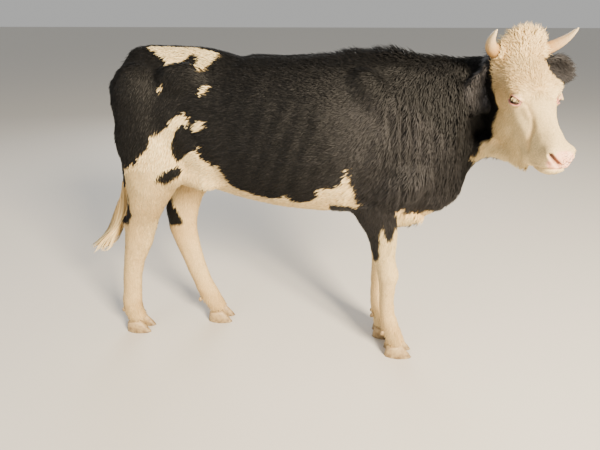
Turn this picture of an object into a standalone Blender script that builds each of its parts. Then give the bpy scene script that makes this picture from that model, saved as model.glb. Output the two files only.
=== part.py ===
"""A young black and white heifer, life-size, standing still and looking round to her right.

The flesh is modelled whole: tapered tubes and ellipsoids for the barrel, neck, skull, muscles
and legs are melted into one surface, which is then parted with thin cuts into the trunk, neck,
head and four legs. Ears, horns, eyes, tail, claws and dewclaws are solids of their own, each set
into a socket with a hair's breadth of clearance.

X runs forward, Y to the animal's left and Z up, in metres. While she is being modelled x = 0 is
below the withers; at the end everything moves so that the origin is at the middle of her floor
space.
"""

import math
from collections import namedtuple

import bmesh
import bpy
import numpy as np
from mathutils import Matrix, Vector

# ---------------------------------------------------------------- driving sizes
GAP = 0.0004  # clearance at a cut through the flesh
SOCKET_GAP = 0.0007  # clearance round a piece set into the flesh
VOXEL = 0.011  # grain of the melted surface
MELT_PASSES = 7  # smoothing passes over it
FLESH_TRIANGLES = 4000  # after thinning, before the cuts
SIDES = 28  # points round a large section
FINE_SIDES = 12  # points round a small one

HEAD_ORIGIN = Vector((0.471, -0.040, 1.186))  # top of the poll, between the horns
HEAD_SIZE = 0.915  # against a grown cow's head, in whose sizes the head is given
HEAD_TURN = math.radians(72.0)  # to her right, from straight ahead
HEAD_DROP = math.radians(34.0)  # how far the face points below level
HEAD_ROLL = math.radians(-1.0)  # crown leaning to her right
EYE_RADIUS = 0.0190
EYE_PLACE = (0.178, -0.040, 0.0700)  # along the face, out of the forehead, to the side
HORN_RADIUS = 0.0200
EAR_LENGTH = 0.142
EAR_HALF_WIDTH = 0.050
RIGHT_EAR = (0.60, -0.76, 0.24)  # which way it hangs: along the face, out of the brow, sideways
LEFT_EAR = (0.10, -0.24, 0.97)
EAR_THICKNESS = 0.014

HEAD_CUT_LEFT = 0.045  # how far to her left the head's cut is centred
HEAD_CUT_REACH = 0.150

CORONET_HEIGHT = 0.066  # where skin meets claw, in front
HEEL_HEIGHT = 0.045
CLAW_LENGTH = 0.115
CLAW_HALF_WIDTH = 0.0235
CLEFT = 0.004  # between the two claws of a foot
FRONT_STRIDE = -0.052  # how far the left fore foot stands behind the right one

COATS = {
    "black coat": ((0.022, 0.019, 0.018, 1.0), 0.75),
    "white coat": ((0.82, 0.77, 0.66, 1.0), 0.8),
    "horn": ((0.72, 0.60, 0.42, 1.0), 0.45),
    "claw": ((0.50, 0.38, 0.27, 1.0), 0.55),
    "eye": ((0.05, 0.035, 0.03, 1.0), 0.1),
}

# A section of a tube: its middle, its half-width, and its reach above and below that middle.
# peak and keel are the superellipse powers of the two halves: under 1 is boxy, over 1 pointed.
Section = namedtuple("Section", "x y z half up down peak keel", defaults=(1.0, 1.0))


# ---------------------------------------------------------------- modelling tools
def densified(sections, steps):
    """Sections with steps - 1 more between each two, on a smooth curve through them."""
    rows = np.array(sections, float)
    padded = np.vstack([2 * rows[0] - rows[1], rows, 2 * rows[-1] - rows[-2]])
    out = []
    for i in range(len(rows) - 1):
        p0, p1, p2, p3 = padded[i : i + 4]
        for t in np.arange(steps) / steps:
            cubic = (2 * p0 - 5 * p1 + 4 * p2 - p3) * t * t + (3 * p1 - p0 - 3 * p2 + p3) * t**3
            out.append(0.5 * (2 * p1 + (p2 - p0) * t + cubic))
    out.append(rows[-1])
    return [Section(*row) for row in out]


def ring(section, side, up, count):
    """The points of one section, in the plane of its side and up directions."""
    centre = Vector((section.x, section.y, section.z))
    points = []
    for i in range(count):
        angle = 2 * math.pi * i / count
        c, s = math.cos(angle), math.sin(angle)
        reach, power = (section.up, section.peak) if s >= 0 else (section.down, section.keel)
        across = section.half * math.copysign(abs(c) ** power, c)
        height = reach * math.copysign(abs(s) ** power, s)
        points.append(centre + side * across + up * height)
    return points


def bridged(name, rings):
    """A closed mesh object whose surface runs through the rings, with an end face at each end.

    Its sides are triangles, so that a swollen copy runs clear of them everywhere.
    """
    bm = bmesh.new()
    loops = [[bm.verts.new(p) for p in points] for points in rings]
    count = len(loops[0])
    for low, high in zip(loops, loops[1:]):
        for i in range(count):
            j = (i + 1) % count
            bm.faces.new((low[i], low[j], high[j]))
            bm.faces.new((low[i], high[j], high[i]))
    bm.faces.new(loops[0])
    bm.faces.new(loops[-1])
    bmesh.ops.recalc_face_normals(bm, faces=bm.faces)
    mesh = bpy.data.meshes.new(name)
    bm.to_mesh(mesh)
    bm.free()
    obj = bpy.data.objects.new(name, mesh)
    bpy.context.scene.collection.objects.link(obj)
    return obj


def tube(name, sections, up=None, steps=4, count=SIDES):
    """A tube along its sections. Each ring stands square to the path, with its top towards up."""
    rows = densified(sections, steps)
    places = [Vector(row[:3]) for row in rows]
    rings = []
    for i, row in enumerate(rows):
        along = (places[min(i + 1, len(rows) - 1)] - places[max(i - 1, 0)]).normalized()
        top = (up - along * up.dot(along)).normalized()
        rings.append(ring(row, along.cross(top), top, count))
    return bridged(name, rings)


def lump(name, centre, radii, turn=None, sides=24):
    """An ellipsoid, for a muscle, the end of a bone under the skin or an eye."""
    mesh = bpy.data.meshes.new(name)
    bm = bmesh.new()
    bmesh.ops.create_uvsphere(bm, u_segments=sides, v_segments=sides // 2, radius=1.0)
    turned = (turn or Matrix.Identity(3)).to_4x4()
    bm.transform(Matrix.Translation(centre) @ turned @ Matrix.Diagonal((*radii, 1.0)))
    bm.to_mesh(mesh)
    bm.free()
    obj = bpy.data.objects.new(name, mesh)
    bpy.context.scene.collection.objects.link(obj)
    return obj


def lean(degrees_forward):
    """A turn about Y that tips the top of an upright shape forward."""
    return Matrix.Rotation(math.radians(degrees_forward), 3, "Y")


def head_axes():
    """The directions along the face, out of the forehead and to her left, as one matrix."""
    level = Vector((math.cos(HEAD_TURN), -math.sin(HEAD_TURN), 0))
    along = level * math.cos(HEAD_DROP) - Vector((0, 0, math.sin(HEAD_DROP)))
    left = Vector((math.sin(HEAD_TURN), math.cos(HEAD_TURN), 0))
    out = along.cross(left) * -1
    if out.z < 0:
        out.negate()
    rolled_out = out * math.cos(HEAD_ROLL) + left * math.sin(HEAD_ROLL)
    rolled_left = left * math.cos(HEAD_ROLL) - out * math.sin(HEAD_ROLL)
    return Matrix((along, rolled_out, rolled_left)).transposed()


HEAD = head_axes()


def on_head(along, out, left):
    """A point given along the face, out of the forehead and to her left."""
    return HEAD_ORIGIN + HEAD @ (Vector((along, out, left)) * HEAD_SIZE)


def evaluated(obj):
    """The object's mesh with its modifiers applied."""
    graph = bpy.context.evaluated_depsgraph_get()
    return bpy.data.meshes.new_from_object(obj.evaluated_get(graph))


def applied(obj):
    """The object, with its modifiers applied."""
    obj.data = evaluated(obj)
    obj.modifiers.clear()
    return obj


def removed(*objects):
    for obj in objects:
        bpy.data.objects.remove(obj)


def copy_of(obj, name, swell=0.0):
    """A copy, with its surface moved outwards by swell."""
    other = bpy.data.objects.new(name, obj.data.copy())
    bpy.context.scene.collection.objects.link(other)
    if swell:
        bm = bmesh.new()
        bm.from_mesh(other.data)
        bm.normal_update()
        for vert in bm.verts:
            vert.co += vert.normal * (swell * vert.calc_shell_factor())
        bm.to_mesh(other.data)
        bm.free()
    return other


def combined(obj, cutter, operation):
    """The object after an exact Boolean with the cutter, which is kept."""
    modifier = obj.modifiers.new("cut", "BOOLEAN")
    modifier.object = cutter
    modifier.operation = operation
    return applied(obj)


def cut_out(obj, cutter):
    """Takes the cutter's space out of the object, and the cutter out of the scene."""
    combined(obj, cutter, "DIFFERENCE")
    removed(cutter)


def socket(obj, pieces):
    """Makes room in the object for each piece that is set into it."""
    for piece in pieces:
        cut_out(obj, copy_of(piece, "cutter", SOCKET_GAP))


def halved(obj, point, normal, name):
    """Cuts the object at a plane: it keeps what is behind the plane, and the new one is ahead."""
    front = copy_of(obj, name)
    for part, keep_front in ((obj, False), (front, True)):
        bm = bmesh.new()
        bm.from_mesh(part.data)
        place = point + normal * (GAP / 2 if keep_front else -GAP / 2)
        cut = bmesh.ops.bisect_plane(
            bm,
            geom=bm.verts[:] + bm.edges[:] + bm.faces[:],
            plane_co=place,
            plane_no=normal,
            clear_outer=not keep_front,
            clear_inner=keep_front,
        )
        rim = [e for e in cut["geom_cut"] if isinstance(e, bmesh.types.BMEdge)]
        bmesh.ops.triangle_fill(bm, edges=rim, use_beauty=True, normal=normal)
        bmesh.ops.recalc_face_normals(bm, faces=bm.faces)
        bm.to_mesh(part.data)
        bm.free()
    return front


def prism(name, outline, axes, middle, depth):
    """A cutter: the outline in the first two axes about the middle, drawn along the third."""
    rings = []
    for step in (-depth / 2, depth / 2):
        rings.append([middle + axes @ Vector((u, v, step)) for u, v in outline])
    return bridged(name, rings)


def finish(name):
    """The material of that name, made the first time it is asked for."""
    if name in bpy.data.materials:
        return bpy.data.materials[name]
    material = bpy.data.materials.new(name)
    material.use_nodes = True
    colour, roughness = COATS[name]
    shader = material.node_tree.nodes["Principled BSDF"]
    shader.inputs["Base Color"].default_value = colour
    shader.inputs["Roughness"].default_value = roughness
    shader.inputs["Metallic"].default_value = 0.0
    material.diffuse_color = colour
    return material


# ---------------------------------------------------------------- flesh
def trunk():
    """Barrel, rump, shoulders, brisket and thighs."""
    # along, top, bottom, half-width, level of the widest point, peak, keel
    barrel = (
        (-0.896, 1.000, 0.900, 0.035, 0.945, 1.0, 1.0),
        (-0.872, 1.105, 0.820, 0.092, 0.940, 1.0, 1.0),
        (-0.825, 1.172, 0.765, 0.143, 0.930, 1.05, 1.0),
        (-0.750, 1.206, 0.740, 0.190, 0.940, 1.1, 1.0),
        (-0.620, 1.204, 0.735, 0.212, 0.955, 1.1, 1.0),
        (-0.480, 1.186, 0.682, 0.226, 0.900, 1.0, 0.95),
        (-0.300, 1.176, 0.642, 0.250, 0.870, 0.95, 0.95),
        (-0.120, 1.180, 0.624, 0.252, 0.860, 0.97, 1.0),
        (0.010, 1.196, 0.618, 0.224, 0.865, 1.15, 1.05),
        (0.110, 1.192, 0.600, 0.192, 0.860, 1.2, 1.05),
        (0.210, 1.160, 0.615, 0.162, 0.850, 1.15, 1.0),
        (0.295, 1.070, 0.650, 0.125, 0.830, 1.0, 1.0),
        (0.350, 0.950, 0.700, 0.070, 0.820, 1.0, 1.0),
    )
    rows = [
        Section(x, 0, level, half, top - level, level - bottom, peak, keel)
        for x, top, bottom, half, level, peak, keel in barrel
    ]
    clay = [tube("barrel", rows, Vector((0, 0, 1)))]
    for side in (-1, 1):
        clay += [
            lump("hook bone", (-0.600, side * 0.146, 1.092), (0.095, 0.042, 0.070)),
            lump("pin bone", (-0.845, side * 0.082, 1.055), (0.048, 0.042, 0.055)),
            lump("rump", (-0.755, side * 0.120, 1.000), (0.114, 0.090, 0.160), lean(-8)),
            lump("shoulder blade", (0.040, side * 0.124, 0.965), (0.110, 0.066, 0.195), lean(-22)),
            lump("upper arm", (0.120, side * 0.140, 0.775), (0.125, 0.070, 0.090), lean(-28)),
            lump("flank fold", (-0.560, side * 0.165, 0.775), (0.080, 0.030, 0.050), lean(25)),
        ]
    clay += [
        lump("brisket", (0.238, 0.0, 0.735), (0.138, 0.100, 0.120), lean(-20)),
        lump("breastbone", (0.160, 0.0, 0.620), (0.105, 0.070, 0.064), lean(-8)),
        lump("udder", (-0.640, 0.0, 0.735), (0.110, 0.080, 0.055)),
    ]
    return clay


def neck():
    """Neck, throat and dewlap, bent round to her right."""
    rows = (
        Section(0.040, 0.000, 0.925, 0.165, 0.270, 0.255, 1.2, 1.0),
        Section(0.160, 0.008, 0.938, 0.142, 0.255, 0.250, 1.2, 1.05),
        Section(0.255, 0.028, 0.965, 0.114, 0.230, 0.235, 1.15, 1.15),
        Section(0.340, 0.050, 0.995, 0.090, 0.200, 0.205, 1.1, 1.2),
        Section(0.408, 0.052, 1.025, 0.081, 0.168, 0.180, 1.05, 1.2),
        Section(0.448, 0.022, 1.045, 0.077, 0.140, 0.150, 1.0, 1.1),
        Section(0.462, -0.026, 1.055, 0.072, 0.105, 0.120, 1.0, 1.1),
    )
    dewlap = (
        Section(0.452, -0.066, 0.895, 0.024, 0.055, 0.030),
        Section(0.408, -0.028, 0.866, 0.028, 0.060, 0.026),
        Section(0.368, -0.006, 0.815, 0.034, 0.070, 0.026),
        Section(0.330, 0.000, 0.740, 0.044, 0.080, 0.038),
    )
    return [
        tube("neck", rows, Vector((0, 0, 1))),
        tube("dewlap", dewlap, Vector((-1, 0, 0.3)), count=16),
    ]


def head_lump(name, along, out, left, radii):
    """A lump set and sized on the head."""
    return lump(name, on_head(along, out, left), [r * HEAD_SIZE for r in radii], HEAD)


def skull():
    """Head without ears, horns and eyes."""
    # along the face, half-width, top, bottom, level of the widest point, peak, keel
    profile = (
        (-0.060, 0.055, -0.045, -0.150, -0.095, 1.0, 1.0),
        (-0.035, 0.082, 0.010, -0.200, -0.080, 0.9, 1.0),
        (0.000, 0.096, 0.040, -0.225, -0.065, 0.85, 1.05),
        (0.055, 0.096, 0.036, -0.240, -0.055, 0.85, 1.05),
        (0.115, 0.094, 0.014, -0.246, -0.050, 0.85, 1.05),
        (0.165, 0.088, -0.002, -0.248, -0.062, 0.9, 1.05),
        (0.210, 0.076, -0.014, -0.240, -0.075, 1.05, 1.0),
        (0.260, 0.063, -0.023, -0.222, -0.090, 1.15, 0.95),
        (0.310, 0.054, -0.029, -0.192, -0.100, 1.15, 0.9),
        (0.350, 0.054, -0.033, -0.168, -0.100, 1.05, 0.85),
        (0.385, 0.055, -0.038, -0.152, -0.098, 0.95, 0.85),
        (0.412, 0.044, -0.047, -0.138, -0.092, 0.95, 0.9),
        (0.426, 0.030, -0.060, -0.120, -0.090, 1.0, 1.0),
    )
    rows = []
    for along, half, top, bottom, level, peak, keel in profile:
        sizes = [HEAD_SIZE * size for size in (half, top - level, level - bottom)]
        rows.append(Section(*on_head(along, level, 0), *sizes, peak, keel))
    clay = [tube("skull", rows, HEAD.col[1].copy())]
    for side in (-1, 1):
        clay += [
            head_lump("cheek", 0.135, -0.150, side * 0.048, (0.085, 0.085, 0.036)),
            head_lump("brow", 0.148, -0.018, side * 0.070, (0.050, 0.024, 0.029)),
            head_lump("nostril wing", 0.388, -0.066, side * 0.036, (0.024, 0.030, 0.022)),
            head_lump("ear root", 0.006, -0.045, side * 0.082, (0.034, 0.032, 0.026)),
            head_lump("horn root", -0.004, 0.006, side * 0.072, (0.030, 0.028, 0.024)),
        ]
    clay += [
        head_lump("crown", -0.015, 0.043, 0, (0.056, 0.052, 0.078)),
        head_lump("chin", 0.360, -0.140, 0, (0.046, 0.024, 0.040)),
        head_lump("throat", 0.140, -0.255, 0, (0.110, 0.070, 0.042)),
        head_lump("jowl", 0.245, -0.218, 0, (0.095, 0.046, 0.044)),
    ]
    return clay


# Each leg from the body down: x, y, z, half-width across, reach forward and reach back.
FORE_LEG = (
    (0.035, 0.128, 0.800, 0.062, 0.095, 0.095),
    (0.048, 0.122, 0.700, 0.060, 0.080, 0.085),
    (0.078, 0.112, 0.620, 0.055, 0.068, 0.072),
    (0.092, 0.103, 0.560, 0.048, 0.060, 0.058),
    (0.108, 0.090, 0.460, 0.041, 0.046, 0.045),
    (0.124, 0.083, 0.385, 0.043, 0.044, 0.040),
    (0.129, 0.078, 0.325, 0.037, 0.036, 0.036),
    (0.133, 0.072, 0.260, 0.032, 0.033, 0.036),
    (0.143, 0.067, 0.185, 0.033, 0.034, 0.038),
    (0.158, 0.063, 0.128, 0.041, 0.041, 0.044),
    (0.175, 0.061, 0.088, 0.042, 0.040, 0.044),
    (0.186, 0.060, 0.045, 0.045, 0.044, 0.046),
)
RIGHT_HIND_LEG = (
    (-0.700, 0.128, 0.880, 0.080, 0.125, 0.130),
    (-0.748, 0.138, 0.780, 0.078, 0.112, 0.108),
    (-0.790, 0.126, 0.680, 0.064, 0.084, 0.078),
    (-0.828, 0.106, 0.605, 0.053, 0.072, 0.066),
    (-0.856, 0.090, 0.545, 0.048, 0.072, 0.062),
    (-0.878, 0.080, 0.470, 0.046, 0.062, 0.060),
    (-0.912, 0.072, 0.385, 0.040, 0.050, 0.048),
    (-0.941, 0.064, 0.285, 0.036, 0.044, 0.045),
    (-0.960, 0.058, 0.190, 0.037, 0.044, 0.046),
    (-0.972, 0.053, 0.128, 0.044, 0.048, 0.050),
    (-0.968, 0.051, 0.088, 0.044, 0.045, 0.046),
    (-0.961, 0.050, 0.045, 0.047, 0.046, 0.048),
)
LEFT_HIND_LEG = (
    (-0.640, 0.128, 0.880, 0.080, 0.125, 0.130),
    (-0.658, 0.138, 0.780, 0.078, 0.112, 0.108),
    (-0.700, 0.126, 0.680, 0.064, 0.084, 0.078),
    (-0.732, 0.108, 0.605, 0.053, 0.074, 0.070),
    (-0.754, 0.094, 0.535, 0.048, 0.076, 0.068),
    (-0.756, 0.088, 0.460, 0.046, 0.066, 0.066),
    (-0.737, 0.083, 0.375, 0.040, 0.054, 0.058),
    (-0.706, 0.078, 0.260, 0.036, 0.048, 0.050),
    (-0.680, 0.075, 0.180, 0.037, 0.046, 0.048),
    (-0.660, 0.073, 0.128, 0.044, 0.050, 0.052),
    (-0.637, 0.073, 0.088, 0.044, 0.046, 0.048),
    (-0.620, 0.073, 0.045, 0.047, 0.046, 0.048),
)


def legs():
    """The four legs: name, side (-1 is her right) and rows, the left fore leg set back."""
    elbow = FORE_LEG[1][2]
    left_fore = tuple(
        (x + FRONT_STRIDE * max(0.0, 1 - z / elbow), y, z, half, front, back)
        for x, y, z, half, front, back in FORE_LEG
    )
    return {
        "leg_front_right": (-1, FORE_LEG),
        "leg_front_left": (1, left_fore),
        "leg_hind_right": (-1, RIGHT_HIND_LEG),
        "leg_hind_left": (1, LEFT_HIND_LEG),
    }


def leg_clay(name, side, rows):
    """One leg's tube, and the bones that show at its joints."""
    sections = [Section(x, side * y, z, half, front, back) for x, y, z, half, front, back in rows]
    clay = [tube(name, sections, Vector((1, 0, 0)), count=20)]
    if "hind" in name:
        hock = Vector((rows[4][0] - 0.052, side * rows[4][1], rows[4][2] - 0.005))
        clay.append(lump("point of hock", hock, (0.026, 0.024, 0.046), lean(-8)))
        thigh = Vector((rows[0][0] - 0.040, side * 0.146, 0.875))
        clay.append(lump("thigh", thigh, (0.128, 0.078, 0.185), lean(-6)))
        stifle = Vector((rows[1][0] + 0.080, side * 0.160, 0.800))
        clay.append(lump("stifle", stifle, (0.068, 0.050, 0.075)))
    else:
        elbow = Vector((rows[1][0] - 0.065, side * 0.128, 0.705))
        clay.append(lump("point of elbow", elbow, (0.040, 0.036, 0.045)))
        knee = Vector((rows[5][0] + 0.006, side * rows[5][1], rows[5][2]))
        clay.append(lump("knee", knee, (0.044, 0.045, 0.052)))
    return clay


def melted(clay):
    """All the clay as one smooth surface, thinned to few triangles."""
    bm = bmesh.new()
    for obj in clay:
        bm.from_mesh(obj.data)
    mesh = bpy.data.meshes.new("flesh")
    bm.to_mesh(mesh)
    bm.free()
    removed(*clay)
    flesh = bpy.data.objects.new("flesh", mesh)
    bpy.context.scene.collection.objects.link(flesh)
    remesh = flesh.modifiers.new("melt", "REMESH")
    remesh.mode = "VOXEL"
    remesh.voxel_size = VOXEL
    smooth = flesh.modifiers.new("smooth", "SMOOTH")
    smooth.factor = 0.5
    smooth.iterations = MELT_PASSES
    applied(flesh)
    triangles = 2 * len(flesh.data.polygons)
    thin = flesh.modifiers.new("thin", "DECIMATE")
    thin.ratio = FLESH_TRIANGLES / triangles
    thin.use_collapse_triangulate = True
    return applied(flesh)


# ---------------------------------------------------------------- horn, ear, eye, tail, claw
def horn(side):
    """A short horn that grows out, forwards and up, on one side of the poll."""
    name = "horn_right" if side < 0 else "horn_left"
    # along the face, out of the forehead, to the side, thickness as a share of the root's
    line = (
        (-0.012, -0.008, 0.070, 1.0),
        (-0.010, 0.006, 0.096, 1.0),
        (-0.004, 0.028, 0.120, 0.86),
        (0.004, 0.058, 0.136, 0.62),
        (0.012, 0.090, 0.142, 0.30),
        (0.016, 0.104, 0.142, 0.08),
    )
    rows = []
    for along, out, left, share in line:
        radius = HORN_RADIUS * share
        rows.append(Section(*on_head(along, out, side * left), radius, radius, radius))
    return tube(name, rows, HEAD.col[1].copy(), steps=2, count=10)


def ear(side):
    """A broad furry ear below the horn: the right one droops, the left one is held out."""
    name, (ahead, up, out) = ("ear_right", RIGHT_EAR) if side < 0 else ("ear_left", LEFT_EAR)
    root = on_head(0.006, -0.052, side * 0.090)
    reach = (HEAD @ Vector((ahead, up, side * out))).normalized()
    hollow = (HEAD @ Vector((0.85, 0.25, side * 0.30))).normalized()  # the way the cup opens
    hollow = (hollow - reach * hollow.dot(reach)).normalized()
    across = reach.cross(hollow).normalized()
    # share of the length, share of the width, depth of the cup as a share of the width
    outline = (
        (-0.08, 0.30, 0.30),
        (0.06, 0.42, 0.55),
        (0.22, 0.78, 0.62),
        (0.42, 1.00, 0.50),
        (0.62, 0.96, 0.36),
        (0.80, 0.72, 0.24),
        (0.93, 0.42, 0.12),
        (1.00, 0.14, 0.04),
    )
    rings = []
    lip = 5  # points along each face of the leaf
    for share, width, cup in outline:
        half = EAR_HALF_WIDTH * width
        thick = EAR_THICKNESS * (0.45 + 0.55 * width)
        middle = root + reach * EAR_LENGTH * share
        outer, inner = [], []
        for i in range(lip):
            t = -1 + 2 * i / (lip - 1)
            sag = half * cup * (1 - t * t)
            outer.append(middle + across * (half * t) - hollow * (sag + thick * 0.5))
            inner.append(middle + across * (half * 0.9 * t) - hollow * (sag - thick * 0.5))
        rings.append(outer + inner[::-1])
    return bridged(name, rings)


def eye(side):
    name = "eye_right" if side < 0 else "eye_left"
    along, out, left = EYE_PLACE
    return lump(name, on_head(along, out, side * left), (EYE_RADIUS,) * 3, sides=16)


def tail():
    """The dock, hanging in the cleft between the thighs, and the switch of long hair below it."""
    dock = (
        Section(-0.838, 0.0, 1.135, 0.030, 0.028, 0.028),
        Section(-0.888, 0.0, 1.075, 0.028, 0.025, 0.025),
        Section(-0.914, 0.0, 0.985, 0.024, 0.022, 0.022),
        Section(-0.920, 0.0, 0.870, 0.021, 0.019, 0.019),
        Section(-0.926, 0.0, 0.760, 0.019, 0.018, 0.018),
        Section(-0.936, 0.0, 0.660, 0.018, 0.017, 0.017),
    )
    switch = (
        Section(-0.933, 0.0, 0.700, 0.024, 0.022, 0.022),
        Section(-0.952, 0.0, 0.615, 0.032, 0.026, 0.028),
        Section(-0.990, 0.0, 0.535, 0.036, 0.028, 0.030),
        Section(-1.030, 0.0, 0.455, 0.032, 0.026, 0.026),
        Section(-1.080, 0.0, 0.395, 0.022, 0.018, 0.020),
        Section(-1.150, 0.0, 0.350, 0.008, 0.007, 0.008),
    )
    back = Vector((1, 0, 0.4))
    return (
        tube("tail", dock, back, steps=2, count=10),
        tube("tail_switch", switch, back, steps=2, count=10),
    )


def claw(name, toe, heel, middle, side):
    """One claw: a flat sole, a sloping wall and a rounded heel. side is -1 for a foot's right."""
    length = toe - heel
    rings = []
    # height at the toe, height at the heel, toe drawn back, heel drawn in, share of the width
    levels = (
        (0.0, 0.0, 0.0, 0.0, 1.0),
        (0.010, 0.010, 0.004, 0.0, 1.0),
        (CORONET_HEIGHT * 0.55, HEEL_HEIGHT * 0.6, 0.026, 0.004, 0.95),
        (CORONET_HEIGHT, HEEL_HEIGHT, 0.048, 0.008, 0.84),
    )
    for front, rear, toe_back, heel_in, share in levels:
        points = []
        for i in range(FINE_SIDES):
            angle = 2 * math.pi * i / FINE_SIDES
            c, s = math.cos(angle), math.sin(angle)
            reach = 0.5 + 0.5 * c  # 0 at the heel, 1 at the toe
            near, far = heel + heel_in, toe - toe_back
            x = near + (far - near) * reach
            bulge = abs(s) ** 0.8 * (1.0 if reach < 0.5 else 1.0 - 0.28 * (reach - 0.5) * 2)
            half = CLAW_HALF_WIDTH * share
            inner = math.copysign(1, s) != side  # the wall beside the cleft is flatter
            y = middle + math.copysign(half * bulge * (0.92 if inner else 1.0), s)
            z = rear + (front - rear) * (x - heel) / length
            points.append(Vector((x, y, z)))
        rings.append(points)
    return bridged(name, rings)


def foot(leg, side, rows):
    """Two claws and two dewclaws."""
    x, y = rows[-1][0], side * rows[-1][1]
    toe, heel = x + 0.068, x + 0.068 - CLAW_LENGTH
    pieces = []
    for half in (-1, 1):
        which = "outer" if half == side else "inner"
        stem = leg.replace("leg_", "")
        middle = y + half * (CLAW_HALF_WIDTH + CLEFT / 2)
        pieces.append(claw(f"claw_{stem}_{which}", toe, heel, middle, half))
        fetlock = rows[9]
        place = Vector((fetlock[0] - fetlock[5] - 0.001, y + half * 0.021, fetlock[2] - 0.022))
        name = f"dewclaw_{stem}_{which}"
        pieces.append(lump(name, place, (0.014, 0.011, 0.017), lean(20), sides=8))
    return pieces


# ---------------------------------------------------------------- parting the flesh
def taken(body, name, outline, axes, middle, depth):
    """Cuts the prism's share of the body off it, as a new object with the clearance between."""
    keeper = prism("keeper", outline, axes, middle, depth)
    cutter = copy_of(keeper, "cutter", GAP)
    share = combined(copy_of(body, name), keeper, "INTERSECT")
    combined(body, cutter, "DIFFERENCE")
    removed(keeper, cutter)
    return share


def parted(flesh, all_legs):
    """Cuts the flesh into its named nodes."""
    across_neck = (Vector((0.235, 0, 0.950)), Vector((0.875, 0, 0.484)).normalized())
    neck_on = halved(flesh, *across_neck, "neck")
    flesh.name = "trunk"
    # Along the face and out of the forehead: up behind the poll, round the jaw and the muzzle.
    jaw = (
        (-0.120, 0.140),
        (-0.020, -0.105),
        (0.110, -0.290),
        (0.250, -0.330),
        (0.500, -0.200),
        (0.500, 0.140),
    )
    outline = [(HEAD_SIZE * along, HEAD_SIZE * out) for along, out in jaw]
    # Past the jaw on her right the neck bends close by, so the cut stops short of it there.
    middle = HEAD_ORIGIN + HEAD.col[2] * HEAD_CUT_LEFT
    head = taken(neck_on, "head", outline, HEAD, middle, 2 * HEAD_CUT_REACH)
    nodes = {"trunk": flesh, "neck": neck_on, "head": head}
    sideways = Matrix(((0, 0, 1), (1, 0, 0), (0, 1, 0)))
    for name, (side, rows) in all_legs.items():
        hind = "hind" in name
        # From the groin or armpit up to the outside of the limb, and straight down to the floor.
        top, inner = (0.880, 0.690) if hind else (0.785, 0.600)
        rise = [(0.012, inner), (0.320, top), (0.320, -0.050), (0.001, -0.050)]
        outline = [(side * across, up) for across, up in rise]
        middle, depth = (-0.815, 0.56) if hind else (0.110, 0.42)
        nodes[name] = taken(flesh, name, outline, sideways, Vector((middle, 0, 0)), depth)
    return nodes


def coronet_cut(leg, rows):
    """Ends the leg just above its claws, on the slope of their tops."""
    toe = rows[-1][0] + 0.068
    slope = (CORONET_HEIGHT - HEEL_HEIGHT) / CLAW_LENGTH
    normal = Vector((slope, 0, -1)).normalized()
    point = Vector((toe, 0, CORONET_HEIGHT + 1.5 * GAP))
    below = halved(leg, point, normal, "below")
    removed(below)


def settled(nodes):
    """Moves everything so that the origin is at the middle of the floor space."""
    points = np.array([tuple(v.co) for obj in nodes for v in obj.data.vertices])
    low, high = points.min(0), points.max(0)
    move = Matrix.Translation((-(low[0] + high[0]) / 2, -(low[1] + high[1]) / 2, -low[2]))
    for obj in nodes:
        obj.data.transform(move)


def coat_for(name):
    """Which coat or horn a node wears."""
    for part, coat in (("claw", "claw"), ("horn", "horn"), ("eye", "eye")):
        if part in name:
            return coat
    white = ("head", "leg_hind", "tail_switch", "leg_front")
    return "white coat" if name.startswith(white) else "black coat"


def main():
    for obj in list(bpy.data.objects):
        bpy.data.objects.remove(obj)
    all_legs = legs()
    clay = trunk() + neck() + skull()
    for name, (side, rows) in all_legs.items():
        clay += leg_clay(name, side, rows)
    flesh = melted(clay)
    nodes = parted(flesh, all_legs)
    dock, switch = tail()
    socket(nodes["trunk"], [dock])
    socket(switch, [dock])
    ears = [ear(side) for side in (-1, 1)]
    set_in = ears + [make(side) for make in (horn, eye) for side in (-1, 1)]
    socket(nodes["head"], set_in)
    socket(nodes["neck"], ears)
    pieces = [dock, switch] + set_in
    for name, (side, rows) in all_legs.items():
        coronet_cut(nodes[name], rows)
        feet = foot(name, side, rows)
        socket(nodes[name], [piece for piece in feet if piece.name.startswith("dewclaw")])
        pieces += feet
    everything = list(nodes.values()) + pieces
    settled(everything)
    heifer = bpy.data.collections.new("heifer")
    bpy.context.scene.collection.children.link(heifer)
    for obj in everything:
        bpy.context.scene.collection.objects.unlink(obj)
        heifer.objects.link(obj)
        obj.data.name = obj.name
        obj.data.materials.clear()
        obj.data.materials.append(finish(coat_for(obj.name)))
        obj.data.shade_smooth()


if __name__ == "__main__":
    main()
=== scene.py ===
"""Looks of a young black and white heifer in her fuzzy winter coat, life-size.

The solids of the frame give her outline, out to the tips of her hair. Here one smooth hide is made
from the fleshy ones and drawn in by the depth of the coat, then worked over by hand-like strokes
for the eyes, muzzle, neck folds and joints. The coat is solid tufts rooted in that hide, which
follow the lie of the hair. Eyes, lids, horns and claws are pieces of their own.

X runs forward, Y to the animal's left and Z up, in metres.
"""

import logging
import math
from dataclasses import dataclass
from dataclasses import field
from enum import Enum
from enum import IntEnum

import bmesh
import bpy
import numpy as np
from mathutils import Matrix
from mathutils import Vector
from mathutils.bvhtree import BVHTree


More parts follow.
